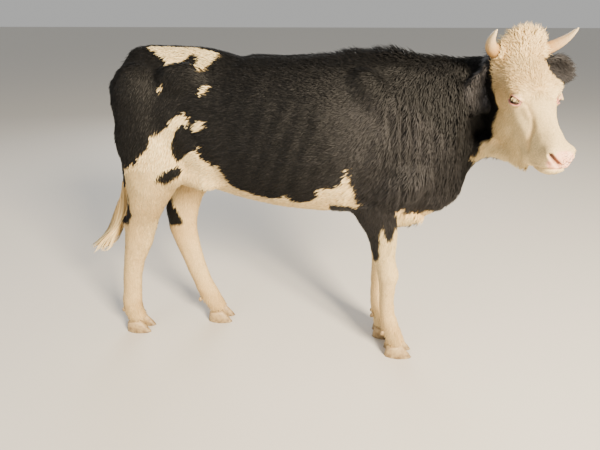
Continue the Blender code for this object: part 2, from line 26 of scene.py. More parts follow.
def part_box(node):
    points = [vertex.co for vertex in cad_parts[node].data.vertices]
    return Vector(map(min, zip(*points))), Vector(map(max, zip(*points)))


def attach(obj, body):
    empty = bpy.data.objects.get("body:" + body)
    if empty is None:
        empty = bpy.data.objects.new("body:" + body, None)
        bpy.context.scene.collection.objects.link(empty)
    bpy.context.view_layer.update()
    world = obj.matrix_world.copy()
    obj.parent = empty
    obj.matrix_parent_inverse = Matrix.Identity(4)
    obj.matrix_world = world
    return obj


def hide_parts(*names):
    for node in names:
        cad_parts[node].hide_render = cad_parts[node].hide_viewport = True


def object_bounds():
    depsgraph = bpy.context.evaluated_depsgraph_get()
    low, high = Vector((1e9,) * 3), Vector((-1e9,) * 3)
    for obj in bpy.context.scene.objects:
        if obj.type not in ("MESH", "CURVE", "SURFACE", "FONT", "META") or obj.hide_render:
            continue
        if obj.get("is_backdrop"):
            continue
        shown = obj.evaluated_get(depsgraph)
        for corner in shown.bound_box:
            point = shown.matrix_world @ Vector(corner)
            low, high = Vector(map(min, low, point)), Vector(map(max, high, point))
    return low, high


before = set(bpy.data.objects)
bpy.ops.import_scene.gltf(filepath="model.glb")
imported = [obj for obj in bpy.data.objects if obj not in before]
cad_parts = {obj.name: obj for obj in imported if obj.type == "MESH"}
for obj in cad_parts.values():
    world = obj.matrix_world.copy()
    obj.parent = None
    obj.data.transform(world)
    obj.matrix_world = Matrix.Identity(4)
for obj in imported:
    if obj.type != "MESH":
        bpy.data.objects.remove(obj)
LOG = logging.getLogger("heifer")
CAD_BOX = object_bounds()
Array = np.ndarray
Numbers = Array | float
Material = bpy.types.Material
Mesh = bpy.types.Mesh
Object = bpy.types.Object
Socket = bpy.types.NodeSocket
RIGHT, BOTH, LEFT = -1, 0, 1  # her sides, as signs of Y
SIDES = (RIGHT, LEFT)


# ---------------- numbers and fields
def ease(low: float, high: float, value: Array) -> Array:
    """A ramp from 0 at low to 1 at high, level at both ends.

    Args:
        low: where the ramp starts; it may be above high, and then the ramp falls.
        high: where it ends.
        value: where to read it.

    Returns:
        The ramp's height at each value.
    """
    t = np.clip((np.asarray(value, float) - low) / (high - low), 0.0, 1.0)
    return t * t * (3.0 - 2.0 * t)


def unit(vectors: Array) -> Array:
    """The vectors, each made one long."""
    return vectors / np.maximum(np.linalg.norm(vectors, axis=-1, keepdims=True), 1e-9)


def dots(a: Array, b: Array) -> Array:
    """The dot product of each pair, kept as a column."""
    return np.sum(a * b, axis=-1, keepdims=True)


def bell(offset: Array, width: float) -> Array:
    """1 where the offset is 0, falling to almost nothing at twice the width."""
    return np.exp(-((offset / width) ** 2))


def mound(first: Array, wide: float, second: Array, high: float) -> Array:
    """1 where both offsets are 0, falling off along each by its own width."""
    return np.exp(-((first / wide) ** 2) - (second / high) ** 2)


def line_gap(points: Array, line: Array) -> Array:
    """Distance from each point to a line of straight pieces.

    Args:
        points: one to a row, with as many columns as the line's corners.
        line: the corners in order.

    Returns:
        One distance for each point.
    """
    nearest = np.full(len(points), np.inf)
    for start, end in zip(line, line[1:]):
        edge = end - start
        share = np.clip((points - start) @ edge / (edge @ edge), 0.0, 1.0)
        gap = np.linalg.norm(points - start - share[:, None] * edge, axis=1)
        nearest = np.minimum(nearest, gap)
    return nearest


@dataclass(frozen=True)
class Noise:
    """A smooth random field between -1 and 1, which repeats after 32 of its grains."""

    seed: int
    cells: int = 32

    def at(self, points: Array, grain: float) -> Array:
        """Reads the field.

        Args:
            points: places, one to a row, in metres.
            grain: size of its blobs in metres.

        Returns:
            One number for each point.
        """
        lattice = np.random.default_rng(self.seed).uniform(-1.0, 1.0, (self.cells,) * 3)
        scaled = points / grain
        corner = np.floor(scaled).astype(int)
        part = scaled - corner
        part = part * part * (3.0 - 2.0 * part)
        total = np.zeros(len(points))
        for step in np.ndindex(2, 2, 2):
            index = (corner + np.array(step)) % self.cells
            share = np.prod(np.where(np.array(step) == 1, part, 1.0 - part), axis=1)
            total += share * lattice[index[:, 0], index[:, 1], index[:, 2]]
        return total


class Part(IntEnum):
    """The fleshy nodes of the frame, as the hide knows them."""

    TRUNK = 0
    NECK = 1
    HEAD = 2
    FORE_LEG = 3
    HIND_LEG = 4
    EAR = 5
    TAIL = 6


LEGS = (Part.FORE_LEG, Part.HIND_LEG)
FLESH = {
    "trunk": Part.TRUNK,
    "neck": Part.NECK,
    "head": Part.HEAD,
    "leg_front_right": Part.FORE_LEG,
    "leg_front_left": Part.FORE_LEG,
    "leg_hind_right": Part.HIND_LEG,
    "leg_hind_left": Part.HIND_LEG,
    "ear_right": Part.EAR,
    "ear_left": Part.EAR,
    "tail": Part.TAIL,
}


def by_part(part: Array, table: dict, rest: float = 0.0) -> Array:
    """A number for each point, by the Part that it belongs to.

    Args:
        part: the Part of each.
        table: for each Part, one number or one for each point.
        rest: for a Part that the table leaves out.

    Returns:
        One number for each point.
    """
    result = np.full(len(part), rest)
    for kind, value in table.items():
        result = np.where(part == kind, value, result)
    return result


@dataclass
class HeadFrame:
    """Directions and places on the head: along the face, out of the forehead and to her left.

    Lengths are shares of a grown cow's head, whose eyes sit at eye_place.
    """

    turn: float = math.radians(72.0)
    drop: float = math.radians(34.0)
    roll: float = math.radians(-1.0)
    size: float = 0.915
    eye_place: tuple = (0.178, -0.040, 0.070)
    crease: tuple = (
        (0.165, -0.006, 0.087), (0.191, -0.015, 0.069), (0.217, -0.027, 0.052),
        (0.249, -0.039, 0.046), (0.281, -0.060, 0.049), (0.304, -0.092, 0.054),
        (0.325, -0.117, 0.054),
    )
    pad: tuple = (-0.074, 0.378)  # middle of the bare muzzle, out of the forehead, and its rear
    pad_half: tuple = (0.044, 0.027, 0.030)  # half its width, and its reach above and below
    pad_deep: float = 0.03  # how far inside the pad its middle counts as
    axes: Array = field(init=False)
    origin: Array = field(init=False)

    def __post_init__(self) -> None:
        """Works out the directions, and the origin from where the frame has the eyes."""
        level = np.array((math.cos(self.turn), -math.sin(self.turn), 0.0))
        along = level * math.cos(self.drop) - np.array((0.0, 0.0, math.sin(self.drop)))
        left = np.array((math.sin(self.turn), math.cos(self.turn), 0.0))
        out = np.cross(along, left)
        rolled_out = out * math.cos(self.roll) + left * math.sin(self.roll)
        rolled_left = left * math.cos(self.roll) - out * math.sin(self.roll)
        self.axes = np.array((along, rolled_out, rolled_left))
        between = (middle_of("eye_right") + middle_of("eye_left")) / 2
        self.origin = between - self.size * (np.array((*self.eye_place[:2], 0.0)) @ self.axes)

    def local(self, points: Array) -> Array:
        """World places as shares along, out and left."""
        return (points - self.origin) @ self.axes.T / self.size

    def world(self, points: Array) -> Array:
        """Shares along, out and left as world places."""
        return self.origin + self.size * np.asarray(points, float) @ self.axes

    def crease_gap(self, points: Array) -> Array:
        """Distance from the fold that runs from each brow past the eye down to the lip."""
        sides = [self.world([(a, o, k * s) for a, o, s in self.crease]) for k in SIDES]
        return np.minimum(*[line_gap(points, line) for line in sides])

    def muzzle(self, points: Array) -> Array:
        """How far inside the bare pad round the nostrils each point lies.

        Args:
            points: one to a row.

        Returns:
            Shares of her head, negative outside the pad.
        """
        along, out, left = self.local(points).T
        wide, above, below = self.pad_half
        high = np.where(out > self.pad[0], above, below)
        far = ((np.abs(left) / wide) ** 3 + (np.abs(out - self.pad[0]) / high) ** 3) ** (1 / 3)
        return np.minimum(self.pad_deep * (1.0 - far), along - self.pad[1])

    def direction(self, along: float, out: float, left: float) -> Array:
        """A world direction given in the head's own directions."""
        return unit(np.array((along, out, left)) @ self.axes)


def side_name(side: int) -> str:
    """right or left."""
    return "right" if side == RIGHT else "left"


def middle_of(node: str) -> Array:
    """The middle of a node's box."""
    low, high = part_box(node)
    return (np.array(low) + np.array(high)) / 2


# ---------------- nodes and colours
def linear(code: str) -> tuple:
    """An sRGB hex colour as linear red, green, blue and alpha.

    Args:
        code: six hex digits after a hash.

    Returns:
        Four numbers for a shader's colour socket.
    """
    parts = [int(code[i : i + 2], 16) / 255 for i in (1, 3, 5)]
    made = [c / 12.92 if c <= 0.04045 else ((c + 0.055) / 1.055) ** 2.4 for c in parts]
    return (*made, 1.0)


class Paint:
    """A material whose surface is one Principled shader, and the nodes that feed it."""

    def __init__(self, name: str, shader: dict) -> None:
        """Makes the material.

        Args:
            name: the material's name.
            shader: constants for the shader's sockets.
        """
        self.material = bpy.data.materials.new(name)
        self.material.use_nodes = True
        self.tree = self.material.node_tree
        self.surface = self.tree.nodes["Principled BSDF"]
        for socket, value in shader.items():
            self.surface.inputs[socket].default_value = value

    def node(self, kind: str, values: dict, **settings: object) -> bpy.types.Node:
        """Adds a shader node.

        Args:
            kind: the node's type after ShaderNode.
            values: for each input socket, a constant or the output to link to it.
            settings: the node's own properties.

        Returns:
            The node.
        """
        made = self.tree.nodes.new(f"ShaderNode{kind}")
        for name, value in settings.items():
            setattr(made, name, value)
        for socket, value in values.items():
            if isinstance(value, Socket):
                self.tree.links.new(value, made.inputs[socket])
            else:
                made.inputs[socket].default_value = value
        return made

    def shades(self, value: Socket, stops: dict) -> Socket:
        """A colour ramp.

        Args:
            value: the output that drives it.
            stops: hex colour at each place from 0 to 1.

        Returns:
            The ramp's colour output.
        """
        ramp = self.node("ValToRGB", {"Fac": value})
        spots = ramp.color_ramp.elements
        while len(spots) < len(stops):
            spots.new(0.5)
        for spot, (place, code) in zip(spots, sorted(stops.items())):
            spot.position = place
            spot.color = linear(code)
        return ramp.outputs["Color"]

    def blend(self, share: object, first: object, second: object, **settings: object) -> Socket:
        """Mixes two colours.

        Args:
            share: how much of the second, a number or an output.
            first: a colour or an output.
            second: a colour or an output.
            settings: such as blend_type.

        Returns:
            The mixed colour's output.
        """
        values = {0: share, 6: first, 7: second}
        return self.node("Mix", values, data_type="RGBA", **settings).outputs[2]

    def darken(self, share: object, colour: Socket, by: Socket) -> Socket:
        """A colour multiplied by another, in part."""
        return self.blend(share, colour, by, blend_type="MULTIPLY")

    def attribute(self, name: str) -> Socket:
        """The piece's own value of that name at each point."""
        return self.node("Attribute", {}, attribute_name=name).outputs["Fac"]

    def grain(self, size_mm: float, detail: float = 3.0, **stretch: tuple) -> Socket:
        """A noise pattern fixed to the animal.

        Args:
            size_mm: size of its blobs.
            detail: octaves of finer noise on top.
            stretch: Scale of the mapping, to draw the blobs out along an axis.

        Returns:
            The noise's value output.
        """
        place = self.node("TexCoord", {}).outputs["Object"]
        moved = self.node("Mapping", {"Vector": place, **stretch}).outputs["Vector"]
        values = {"Vector": moved, "Scale": 1000.0 / size_mm, "Detail": detail}
        return self.node("TexNoise", values).outputs["Fac"]

    def bump(self, height: Socket, deep_mm: float, share: float = 1.0) -> Socket:
        """The normal of a bump whose height, from 0 to 1, stands for so many millimetres."""
        values = {"Height": height, "Distance": deep_mm / 1000.0, "Strength": share}
        return self.node("Bump", values).outputs["Normal"]

    def done(self, **sources: Socket) -> Material:
        """Links outputs to the shader's Base_Color, Roughness or Normal, and gives the material."""
        for name, source in sources.items():
            self.tree.links.new(source, self.surface.inputs[name.replace("_", " ")])
        return self.material


# ---------------- finishes
@dataclass(frozen=True)
class Hair:
    """Cattle winter hair: soft, slightly greasy keratin, painted darker at the root as the shade
    inside the coat and lighter along each lock as a painted sheen.

    Black hair turns a brownish grey: its own fade on the ears, and a painted sheen on the shoulder
    and crest. White hair is cream where it is dusty.
    """

    # from root to tip each colour lightens: painted shade inside the coat, then painted sheen along
    # the lock
    black_root: str = "#030303"
    black_tip: str = "#0c0b0a"
    # faded and grizzled: the ears' own grey-brown, and the painted sheen of the shoulder and crest
    faded: str = "#4a484b"
    grizzled: str = "#838489"
    white_root: str = "#d9b474"
    white_tip: str = "#ffebb6"
    dusty: str = "#dcb274"
    shaded: str = "#cdc9c2"  # over the darkest locks

    def build(self) -> Material:
        """The material, which reads the tufts' white, tip, tone, fade_and_sheen and dust values."""
        dull = {"Roughness": 0.60, "Specular IOR Level": 0.18, "IOR": 1.55}
        made = Paint("winter_hair", dull)
        tip = made.attribute("tip")
        fade_and_sheen = made.attribute("fade_and_sheen")
        # dark root, light tip: painted shade inside the coat and painted sheen
        black = made.shades(tip, {0.0: self.black_root, 1.0: self.black_tip})
        black = made.blend(fade_and_sheen, black, made.shades(fade_and_sheen, {0.5: self.faded, 1.0: self.grizzled}))
        white = made.shades(tip, {0.0: self.white_root, 0.75: self.white_tip})
        white = made.blend(made.attribute("dust"), white, linear(self.dusty))
        colour = made.blend(made.attribute("white"), black, white)
        lift = made.shades(made.attribute("tone"), {0.0: self.shaded, 1.0: "#ffffff"})
        return made.done(Base_Color=made.darken(1.0, colour, lift))


@dataclass(frozen=True)
class Hide:
    """The skin and the short under-hair on it, with the same markings as the coat.

    The muzzle is bare: pink, damp skin with a soft gloss, pebbled in cells of about 3 mm and
    flecked with dark on one side. Inside the nostrils it is painted dark, as their shade.
    """

    black: str = "#090808"
    white: str = "#ead09a"
    dusty: str = "#d0a86c"
    pink: str = "#dd9c7e"
    pale_pink: str = "#ecbd9d"
    speck: str = "#3f2a22"
    # hollow: painted shade inside the nostrils
    hollow: str = "#2a100d"
    pebble_mm: float = 3.0

    def build(self) -> Material:
        """The material, which reads the hide's white, dust, bare, speckle and hollow values."""
        made = Paint("hide", {"Roughness": 0.7, "Specular IOR Level": 0.35})
        streaks = made.grain(4.0, 4.0)
        light = made.blend(made.attribute("dust"), linear(self.white), linear(self.dusty))
        coat = made.blend(made.attribute("white"), linear(self.black), light)
        shade = made.shades(streaks, {0.3: "#cccccc", 0.7: "#ffffff"})
        coat = made.darken(1.0, coat, shade)
        blotches = made.shades(made.grain(14.0), {0.35: self.pink, 0.65: self.pale_pink})
        spots = made.shades(made.grain(4.0, 1.0), {0.55: "#000000", 0.60: "#ffffff"})
        spots = made.darken(1.0, spots, made.attribute("speckle"))
        bare = made.blend(spots, blotches, linear(self.speck))
        # painted shade inside the nostrils
        bare = made.blend(made.attribute("hollow"), bare, linear(self.hollow))
        share = made.attribute("bare")
        place = made.node("TexCoord", {}).outputs["Object"]
        values = {"Vector": place, "Scale": 1000.0 / self.pebble_mm}
        pebbles = made.node("TexVoronoi", values).outputs["Distance"]
        rough = made.node("MapRange", {"Value": share, "To Min": 0.75, "To Max": 0.36})
        relief = made.blend(share, streaks, pebbles)
        return made.done(
            Base_Color=made.blend(share, coat, bare),
            Roughness=rough.outputs["Result"],
            Normal=made.bump(relief, 0.8, 0.6),
        )


@dataclass(frozen=True)
class LidSkin:
    """The rim of an eyelid: thin damp skin, pink at the edge and hairless for a few millimetres."""

    edge: str = "#c98a7c"
    outer: str = "#e9cdb4"

    def build(self) -> Material:
        """The material, which reads how far out from the edge a point lies."""
        made = Paint("lid_skin", {"Roughness": 0.42, "Specular IOR Level": 0.5})
        colour = made.shades(made.attribute("outward"), {0.05: self.edge, 0.45: self.outer})
        return made.done(Base_Color=colour, Normal=made.bump(made.grain(1.2), 0.3, 0.5))


@dataclass(frozen=True)
class EyeBall:
    """A cow's eye: dark brown iris, a long level pupil and a wet, clear surface over both."""

    pupil: str = "#050406"
    iris: str = "#301d14"
    rim: str = "#120c0a"
    sclera: str = "#b8857a"

    def build(self) -> Material:
        """The material, which reads the eye's rings: 0 in the pupil, 1 at the back."""
        wet = {"Roughness": 0.08, "Coat Weight": 0.2, "Coat Roughness": 0.02, "IOR": 1.38}
        made = Paint("eye_surface", wet)
        stops = {0.16: self.pupil, 0.20: self.iris, 0.50: self.iris}
        stops |= {0.58: self.rim, 0.70: self.sclera}
        return made.done(Base_Color=made.shades(made.attribute("ring"), stops))


@dataclass(frozen=True)
class Horn:
    """A young cow's horn: satin keratin with fine fibres, cream at the tip and amber at the root."""

    root: str = "#93693a"
    shaft: str = "#cda36a"
    point: str = "#eedcb4"
    fibre: str = "#b8ab98"

    def build(self) -> Material:
        """The material, which reads how far up the horn a point lies."""
        made = Paint("horn_keratin", {"Roughness": 0.38, "IOR": 1.54, "Coat Weight": 0.15})
        height = made.attribute("outward")
        body = made.shades(height, {0.0: self.root, 0.35: self.shaft, 0.9: self.point})
        fibres = made.shades(made.grain(2.5, 5.0), {0.3: self.fibre, 0.7: "#ffffff"})
        colour = made.darken(0.6, body, fibres)
        return made.done(Base_Color=colour, Normal=made.bump(made.grain(1.5, 4.0), 0.25, 0.5))


@dataclass(frozen=True)
class HoofHorn:
    """Hoof horn: dull keratin in growth rings, streaked tan and grey, rubbed and dusty below."""

    upper: str = "#cdb184"
    middle: str = "#9b7f55"
    lower: str = "#665036"
    streaked: str = "#8a7a6a"
    dust: str = "#b29a6d"

    def build(self) -> Material:
        """The material, which reads how far up the wall a point lies."""
        made = Paint("hoof_horn", {"Roughness": 0.55, "IOR": 1.54})
        height = made.attribute("outward")
        body = made.shades(height, {0.0: self.lower, 0.45: self.middle, 0.95: self.upper})
        upright = made.grain(3.0, 4.0, Scale=(1.0, 1.0, 0.2))
        streaks = made.shades(upright, {0.3: self.streaked, 0.7: "#ffffff"})
        body = made.darken(0.7, body, streaks)
        dusty = made.shades(made.grain(16.0, 4.0), {0.35: "#000000", 0.8: "#ffffff"})
        colour = made.blend(dusty, body, linear(self.dust))
        rings = made.grain(4.0, 2.0, Scale=(0.12, 0.12, 1.0))
        return made.done(Base_Color=colour, Normal=made.bump(rings, 0.7, 0.7))


@dataclass(frozen=True)
class StudioFloor:
    """Plain pale matt paint."""

    paint: str = "#cfcbc4"

    def build(self) -> Material:
        """The material."""
        return Paint("studio_floor", {"Base Color": linear(self.paint), "Roughness": 0.9}).done()


# ---------------- markings
def beyond(points: Array, corners: Array) -> Array:
    """How far each point of a plane lies inside a closed outline.

    Args:
        points: one to a row, two columns.
        corners: the outline's corners in order.

    Returns:
        Distance to the outline in metres, negative outside it.
    """
    closed = np.concatenate([corners, corners[:1]])
    inside = np.zeros(len(points), bool)
    for start, end in zip(closed, closed[1:]):
        straddles = (start[1] > points[:, 1]) != (end[1] > points[:, 1])
        rise = (end[1] - start[1]) or 1e-9
        crossing = start[0] + (points[:, 1] - start[1]) * (end[0] - start[0]) / rise
        inside ^= straddles & (points[:, 0] < crossing)
    gap = line_gap(points, closed)
    return np.where(inside, gap, -gap)


class Seen(Enum):
    """From where a marking is drawn, as the columns of a place that its corners use."""

    SIDE = (0, 2)
    ABOVE = (0, 1)


def outline(corners: tuple) -> Array:
    """Corners in millimetres, both columns of each in turn, as rows in metres."""
    return np.array(corners).reshape(-1, 2) / 1000.0


@dataclass(frozen=True)
class Patch:
    """One white marking, or a black one that is taken out of the white ones before it."""

    seen: Seen
    side: int
    corners: tuple  # in millimetres, both columns of each in turn
    black: bool = False
    over_middle: float = 0.012  # how far a marking of one side reaches past her middle
    top_height: float = 1.0  # one drawn from above holds higher than this

    def depth(self, points: Array) -> Array:
        """How far inside the marking each point lies.

        Args:
            points: one to a row.

        Returns:
            Metres, negative outside it.
        """
        far = beyond(points[:, self.seen.value], outline(self.corners))
        if self.side:
            far = np.minimum(far, points[:, 1] * self.side + self.over_middle)
        if self.seen is Seen.ABOVE:
            far = np.minimum(far, points[:, 2] - self.top_height)
        return far


@dataclass
class Markings:
    """Where her coat is white: blaze, rump, flank, legs, belly and brisket."""

    head: HeadFrame
    ragged: float = 0.007  # how far the hair strays over an edge
    patches: tuple = (
        # right thigh: up the back of the leg in a hook, then forward under the flank
        Patch(Seen.SIDE, RIGHT, (
            -760, 800, -600, 806, -562, 822, -520, 846, -481, 891, -458, 932, -433, 947, -405, 961,
            -387, 986, -361, 1003, -331, 1003, -318, 984, -321, 962, -352, 973, -375, 946,
            -399, 905, -400, 873, -385, 839, -353, 861, -319, 889, -296, 893, -290, 856, -255, 826,
            -230, 838, -214, 803, -208, 769, -172, 742, -116, 728, -60, 718, -30, 726, 4, 750,
            20, 722, 60, 712, 96, 728, 122, 778, 168, 776, 189, 795, 201, 845, 212, 793, 230, 765,
            246, 700, 200, 600, 150, 450, -760, 300,
        )),
        # small island in front of the hook, and two flecks on the rump
        Patch(Seen.SIDE, RIGHT, (-307, 970, -281, 985, -270, 964, -293, 952)),
        Patch(Seen.SIDE, RIGHT, (-431, 1074, -427, 1087, -421, 1086, -425, 1073)),
        Patch(Seen.SIDE, RIGHT, (-280, 1058, -268, 1086, -258, 1084, -270, 1058)),
        # slanting black spot over the right stifle
        Patch(Seen.SIDE, RIGHT, (
            -482, 772, -438, 808, -388, 827, -370, 808, -400, 778, -446, 764,
        ), True),
        # saddle on the rump, up to the spine
        Patch(Seen.ABOVE, BOTH, (
            -515, 14, -462, -34, -422, -60, -398, -98, -376, -116, -362, -92, -346, -44, -318, -30,
            -306, -60, -306, -112, -288, -122, -272, -80, -255, -38, -245, 2, -320, 12, -430, 22,
        )),
        # under the breast, between the fore legs
        Patch(Seen.SIDE, BOTH, (
            280, 500, 290, 655, 385, 680, 407, 687, 413, 664, 436, 649, 477, 649, 488, 662,
            508, 671, 545, 652, 560, 500,
        )),
        # left flank: a broad wedge from the belly up behind the ribs, and the thigh below the hip
        Patch(Seen.SIDE, LEFT, (
            -760, 742, -610, 768, -560, 842, -500, 868, -440, 836, -385, 870, -330, 968, -265, 1040,
            -190, 1052, -140, 985, -150, 905, -110, 842, -20, 788, 60, 770, 135, 786, 190, 742,
            230, 690, 200, 600, 150, 450, -760, 300,
        )),
        Patch(Seen.SIDE, LEFT, (
            -512, 938, -486, 962, -478, 1004, -452, 1018, -440, 992, -412, 984, -420, 958,
            -448, 946, -462, 918, -490, 914,
        )),
    )
    # the right fore leg: white below, up its front to a spike, with a tongue of black beside it
    right_fore: tuple = (
        150, 0, 600, 0, 600, 700, 386, 700, 379, 655, 373, 612, 366, 580, 356, 563, 345, 572,
        336, 590, 328, 626, 322, 600, 318, 570, 324, 500, 322, 470, 308, 446, 294, 428, 150, 425,
    )
    left_fore: tuple = (0.400, 0.25, 0.280)  # its white reaches this high there, and its slope
    # the black behind each hock: heights, and how far forward it reaches there
    hock_right: tuple = (
        (0.548, 0.560, 0.600, 0.660, 0.710, 0.735),
        (-0.05, 0.022, 0.031, 0.022, 0.008, -0.05),
    )
    hock_left: tuple = (
        (0.474, 0.486, 0.520, 0.560, 0.600, 0.625),
        (-0.05, 0.028, 0.031, 0.022, 0.008, -0.05),
    )
    # the head's white: depths below the forehead, and how far along the face it begins there
    blaze: tuple = (
        (-0.020, 0.026, 0.049, 0.091, 0.117, 0.175, 0.219, 0.290),
        (-0.060, 0.006, 0.044, 0.110, 0.138, 0.156, 0.172, 0.178),
    )
    noise: Noise = Noise(11)
    stray_sizes: tuple = (0.022, 0.008)
    dust_cloud: Noise = Noise(5)
    dust_size: float = 0.09

    def head_depth(self, points: Array) -> Array:
        """How far inside the white of the head each point lies.

        Args:
            points: one to a row.

        Returns:
            Metres, negative in the black.
        """
        along, out, left = self.head.local(points).T
        edge = np.interp(-out, *self.blaze)
        edge = edge - 0.05 * ease(0.085, 0.060, np.abs(left)) * ease(-0.06, 0.0, out)
        return (along - edge) * self.head.size

    def leg_depth(self, points: Array, part: Array) -> Array:
        """How far inside the white of a leg each point lies.

        Args:
            points: one to a row.
            part: the Part of each.

        Returns:
            Metres inside the white, negative in the black and -1 away from the legs.
        """
        x, y, z = points.T
        right = y < 0
        near = beyond(points[:, Seen.SIDE.value], outline(self.right_fore))
        top, slope, middle = self.left_fore
        fore = np.where(right, near, top - z + slope * (x - middle))
        near_spot = x + 0.652 - 0.35 * (z - 0.600) - np.interp(z, *self.hock_right)
        far_spot = x + 0.540 + 0.25 * (z - 0.530) - np.interp(z, *self.hock_left)
        hind = np.minimum(0.05, np.where(right, near_spot, far_spot))
        return by_part(part, {Part.FORE_LEG: fore, Part.HIND_LEG: hind}, -1.0)

    def depth(self, points: Array, part: Array) -> Array:
        """How far inside the white each point lies, before the hair strays.

        Args:
            points: one to a row.
            part: the Part of each.

        Returns:
            Metres inside the white, negative in the black.
        """
        depth = np.full(len(points), -1.0)
        on_body = np.isin(part, (Part.TRUNK, Part.HIND_LEG, Part.NECK))
        for patch in self.patches:
            far = patch.depth(points)
            joined = np.minimum(depth, -far) if patch.black else np.maximum(depth, far)
            depth = np.where(on_body, joined, depth)
        z = points[:, 2]
        legs = self.leg_depth(points, part)
        faded = ease(0.74, 0.70, z) - 1
        thigh = np.where(z < 0.72, legs, np.maximum(depth, faded))
        head = self.head_depth(points)
        local = self.head.local(points)
        throat = np.minimum(0.330 + local[:, 1], 0.083 - np.abs(local[:, 2]))
        neck = np.maximum(depth, np.minimum(head, throat))
        table = {
            Part.TRUNK: depth,
            Part.NECK: neck,
            Part.HEAD: head,
            Part.FORE_LEG: legs,
            Part.HIND_LEG: thigh,
        }
        return by_part(part, table, -1.0)

    def white(self, points: Array, part: Array, soft: float = 0.002) -> Array:
        """How white each point is, from 0 to 1, with the hair straying over the edges.

        Args:
            points: one to a row.
            part: the Part of each.
            soft: half the width of the edge.

        Returns:
            0 in the black, 1 in the white.
        """
        broad, fine = (self.noise.at(points, size) for size in self.stray_sizes)
        stray = broad + 0.6 * fine
        return ease(-soft, soft, self.depth(points, part) + self.ragged * stray)

    def dust(self, points: Array, part: Array) -> Array:
        """How dusty the white is on the lower legs and belly, and how much darker cream on the face.

        Args:
            points: one to a row.
            part: the Part of each.

        Returns:
            A share for each point.
        """
        z = points[:, 2]
        cloud = 0.5 + 0.5 * self.dust_cloud.at(points, self.dust_size)
        legs = ease(0.55, 0.05, z) * 0.62
        under = np.isin(part, (Part.TRUNK, Part.HIND_LEG))
        belly = ease(0.95, 0.66, z) * 0.38 * under
        # on the face the white is a little darker cream, more towards the brow and along each fold
        fold = bell(self.head.crease_gap(points), 0.009)
        brow = ease(0.24, 0.12, self.head.local(points)[:, 0])
        face = (0.10 + 0.45 * brow + 0.5 * fold) * (part == Part.HEAD)
        return np.clip((np.maximum(legs, belly) + face) * (0.45 + cloud), 0.0, 1.0)


